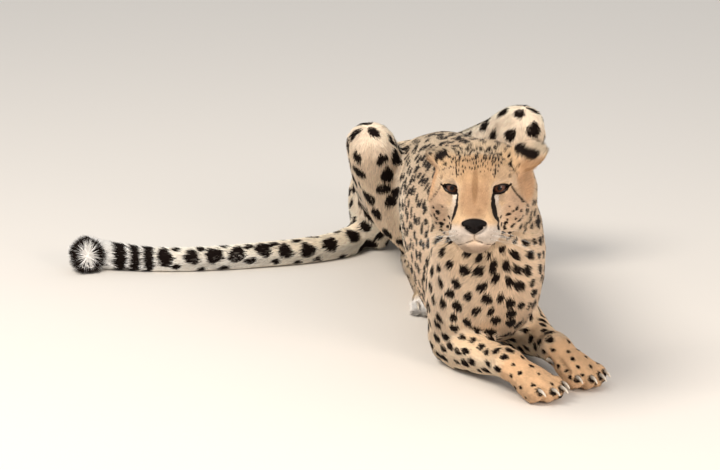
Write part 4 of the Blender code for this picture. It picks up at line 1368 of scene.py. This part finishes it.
# %% Nose material
# Nose leather: black skin with fine pebbles, a little moist.
nose_material, nose_shader = new_material("nose_leather", "#150F0D", 0.6, Specular_IOR_Level=0.1)
blotch = noise(nose_material, Scale=180.0, Detail=3.0)
pebbles = add_node(nose_material, "ShaderNodeTexVoronoi", Vector=object_space(nose_material), Scale=1100.0)
pebble_bump = add_node(nose_material, "ShaderNodeBump", {"invert": True},
                       Height=pebbles.outputs["Distance"], Strength=0.5, Distance=0.0004)
feed(nose_shader, Base_Color=colour_ramp(nose_material, blotch, [(0.3, "#080504"), (0.7, "#140E0C")]),
     Normal=pebble_bump.outputs["Normal"])
nose.data.materials.append(nose_material)
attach(nose, "root")
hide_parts("nose_pad")

# %% [markdown]
# ## Claws
# A cheetah's claws stay out, blunt and slightly curved. The solids give their place and size. Copies of
# them are merged, swollen a little and rounded off by subdivision, and the horn is darker and duller at
# the root.

# %% Round the claws
CLAW_SWELL = 0.3 * MM
HORN_ROOT, HORN_TIP = (np.array(linear(colour)) for colour in ("#4A3D33", "#E6DCCB"))

claws = swollen("claws", CLAWS, CLAW_SWELL)
apply_modifier(claws, "SUBSURF", levels=2)
p = points_of(claws.data)
paw_middle = np.array([middle_of(paw) for paw in PAWS])
out_of_paw = norm(p[:, None, :2] - paw_middle[None, :, :2], axis=2).min(1)
own = norm(p[:, None] - claw_base[None], axis=2).argmin(1)
reach = [out_of_paw[own == number] for number in range(len(claw_base))]
low, high = np.array([(each.min(), each.max()) for each in reach]).T
colour_attribute(claws.data, mixed(HORN_ROOT, HORN_TIP, (out_of_paw - low[own]) / (high - low)[own]))
put_points(claws.data, p)
print("claws:", len(CLAWS), "of up to", round(float((high - low).max() * 1000), 1), "mm")

# %% Claw material
# Horn: pale and slightly see-through, worn to a soft gloss, with faint lengthwise streaks.
claw_material, claw_shader = new_material("claw_horn", "#D8CFC0", 0.38)
stretched = add_node(claw_material, "ShaderNodeMapping", Vector=object_space(claw_material),
                     Scale=(900.0, 250.0, 900.0))
streaks = noise(claw_material, Vector=stretched.outputs["Vector"], Scale=1.0, Detail=2.0)
claw_tone = colour_ramp(claw_material, streaks, [(0.3, "#A89A88"), (0.6, "#FFFFFF")])
feed(claw_shader, Base_Color=multiplied(claw_material, 0.6, painted(claw_material), claw_tone))
claws.data.materials.append(claw_material)
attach(claws, "root")
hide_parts(*CLAWS)

# %% [markdown]
# ## Whiskers
# Stiff white hairs stand in three short rows on each side of the muzzle. They sweep out and back, and
# droop a little.

# %% Draw the whiskers
WHISKER_LONG, WHISKER_THICK = (45 * MM, 75 * MM), 0.11 * MM
WHISKER_STEPS = 9
WHISKER_DROOP = np.array([0, 0.10, -0.28])


def whisker(side, place, share):
    root = on_skin(side * place[0], place[2])
    back = rng.uniform(0.05, 0.35) - 0.25 * (1 - share)
    heading = unit(np.array([side * 1.0, back, rng.uniform(-0.30, 0.10)]))
    long = rng.uniform(*WHISKER_LONG)
    t = np.linspace(0, 1, WHISKER_STEPS)[:, None]
    path = root + heading * (t * long) + WHISKER_DROOP * (t ** 2 * long * rng.uniform(0.6, 1.2))
    return from_head(path), WHISKER_THICK * (1 - 0.8 * t[:, 0])


hairs = [whisker(side, *root) for side in (1, -1) for root in WHISKER_ROOTS]
whiskers = tubes("whiskers", hairs, closed=False)
# Whisker: stiff white hair with a little gloss, greyer in places.
whisker_material, whisker_shader = new_material("whisker", "#F4F0E8", 0.4)
grey = noise(whisker_material, Scale=60.0)
feed(whisker_shader, Base_Color=colour_ramp(whisker_material, grey, [(0.35, "#D9D2C6"), (0.6, "#FBF8F2")]))
whiskers.data.materials.append(whisker_material)
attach(whiskers, "root")
print("whiskers:", len(whiskers.data.polygons), "faces")
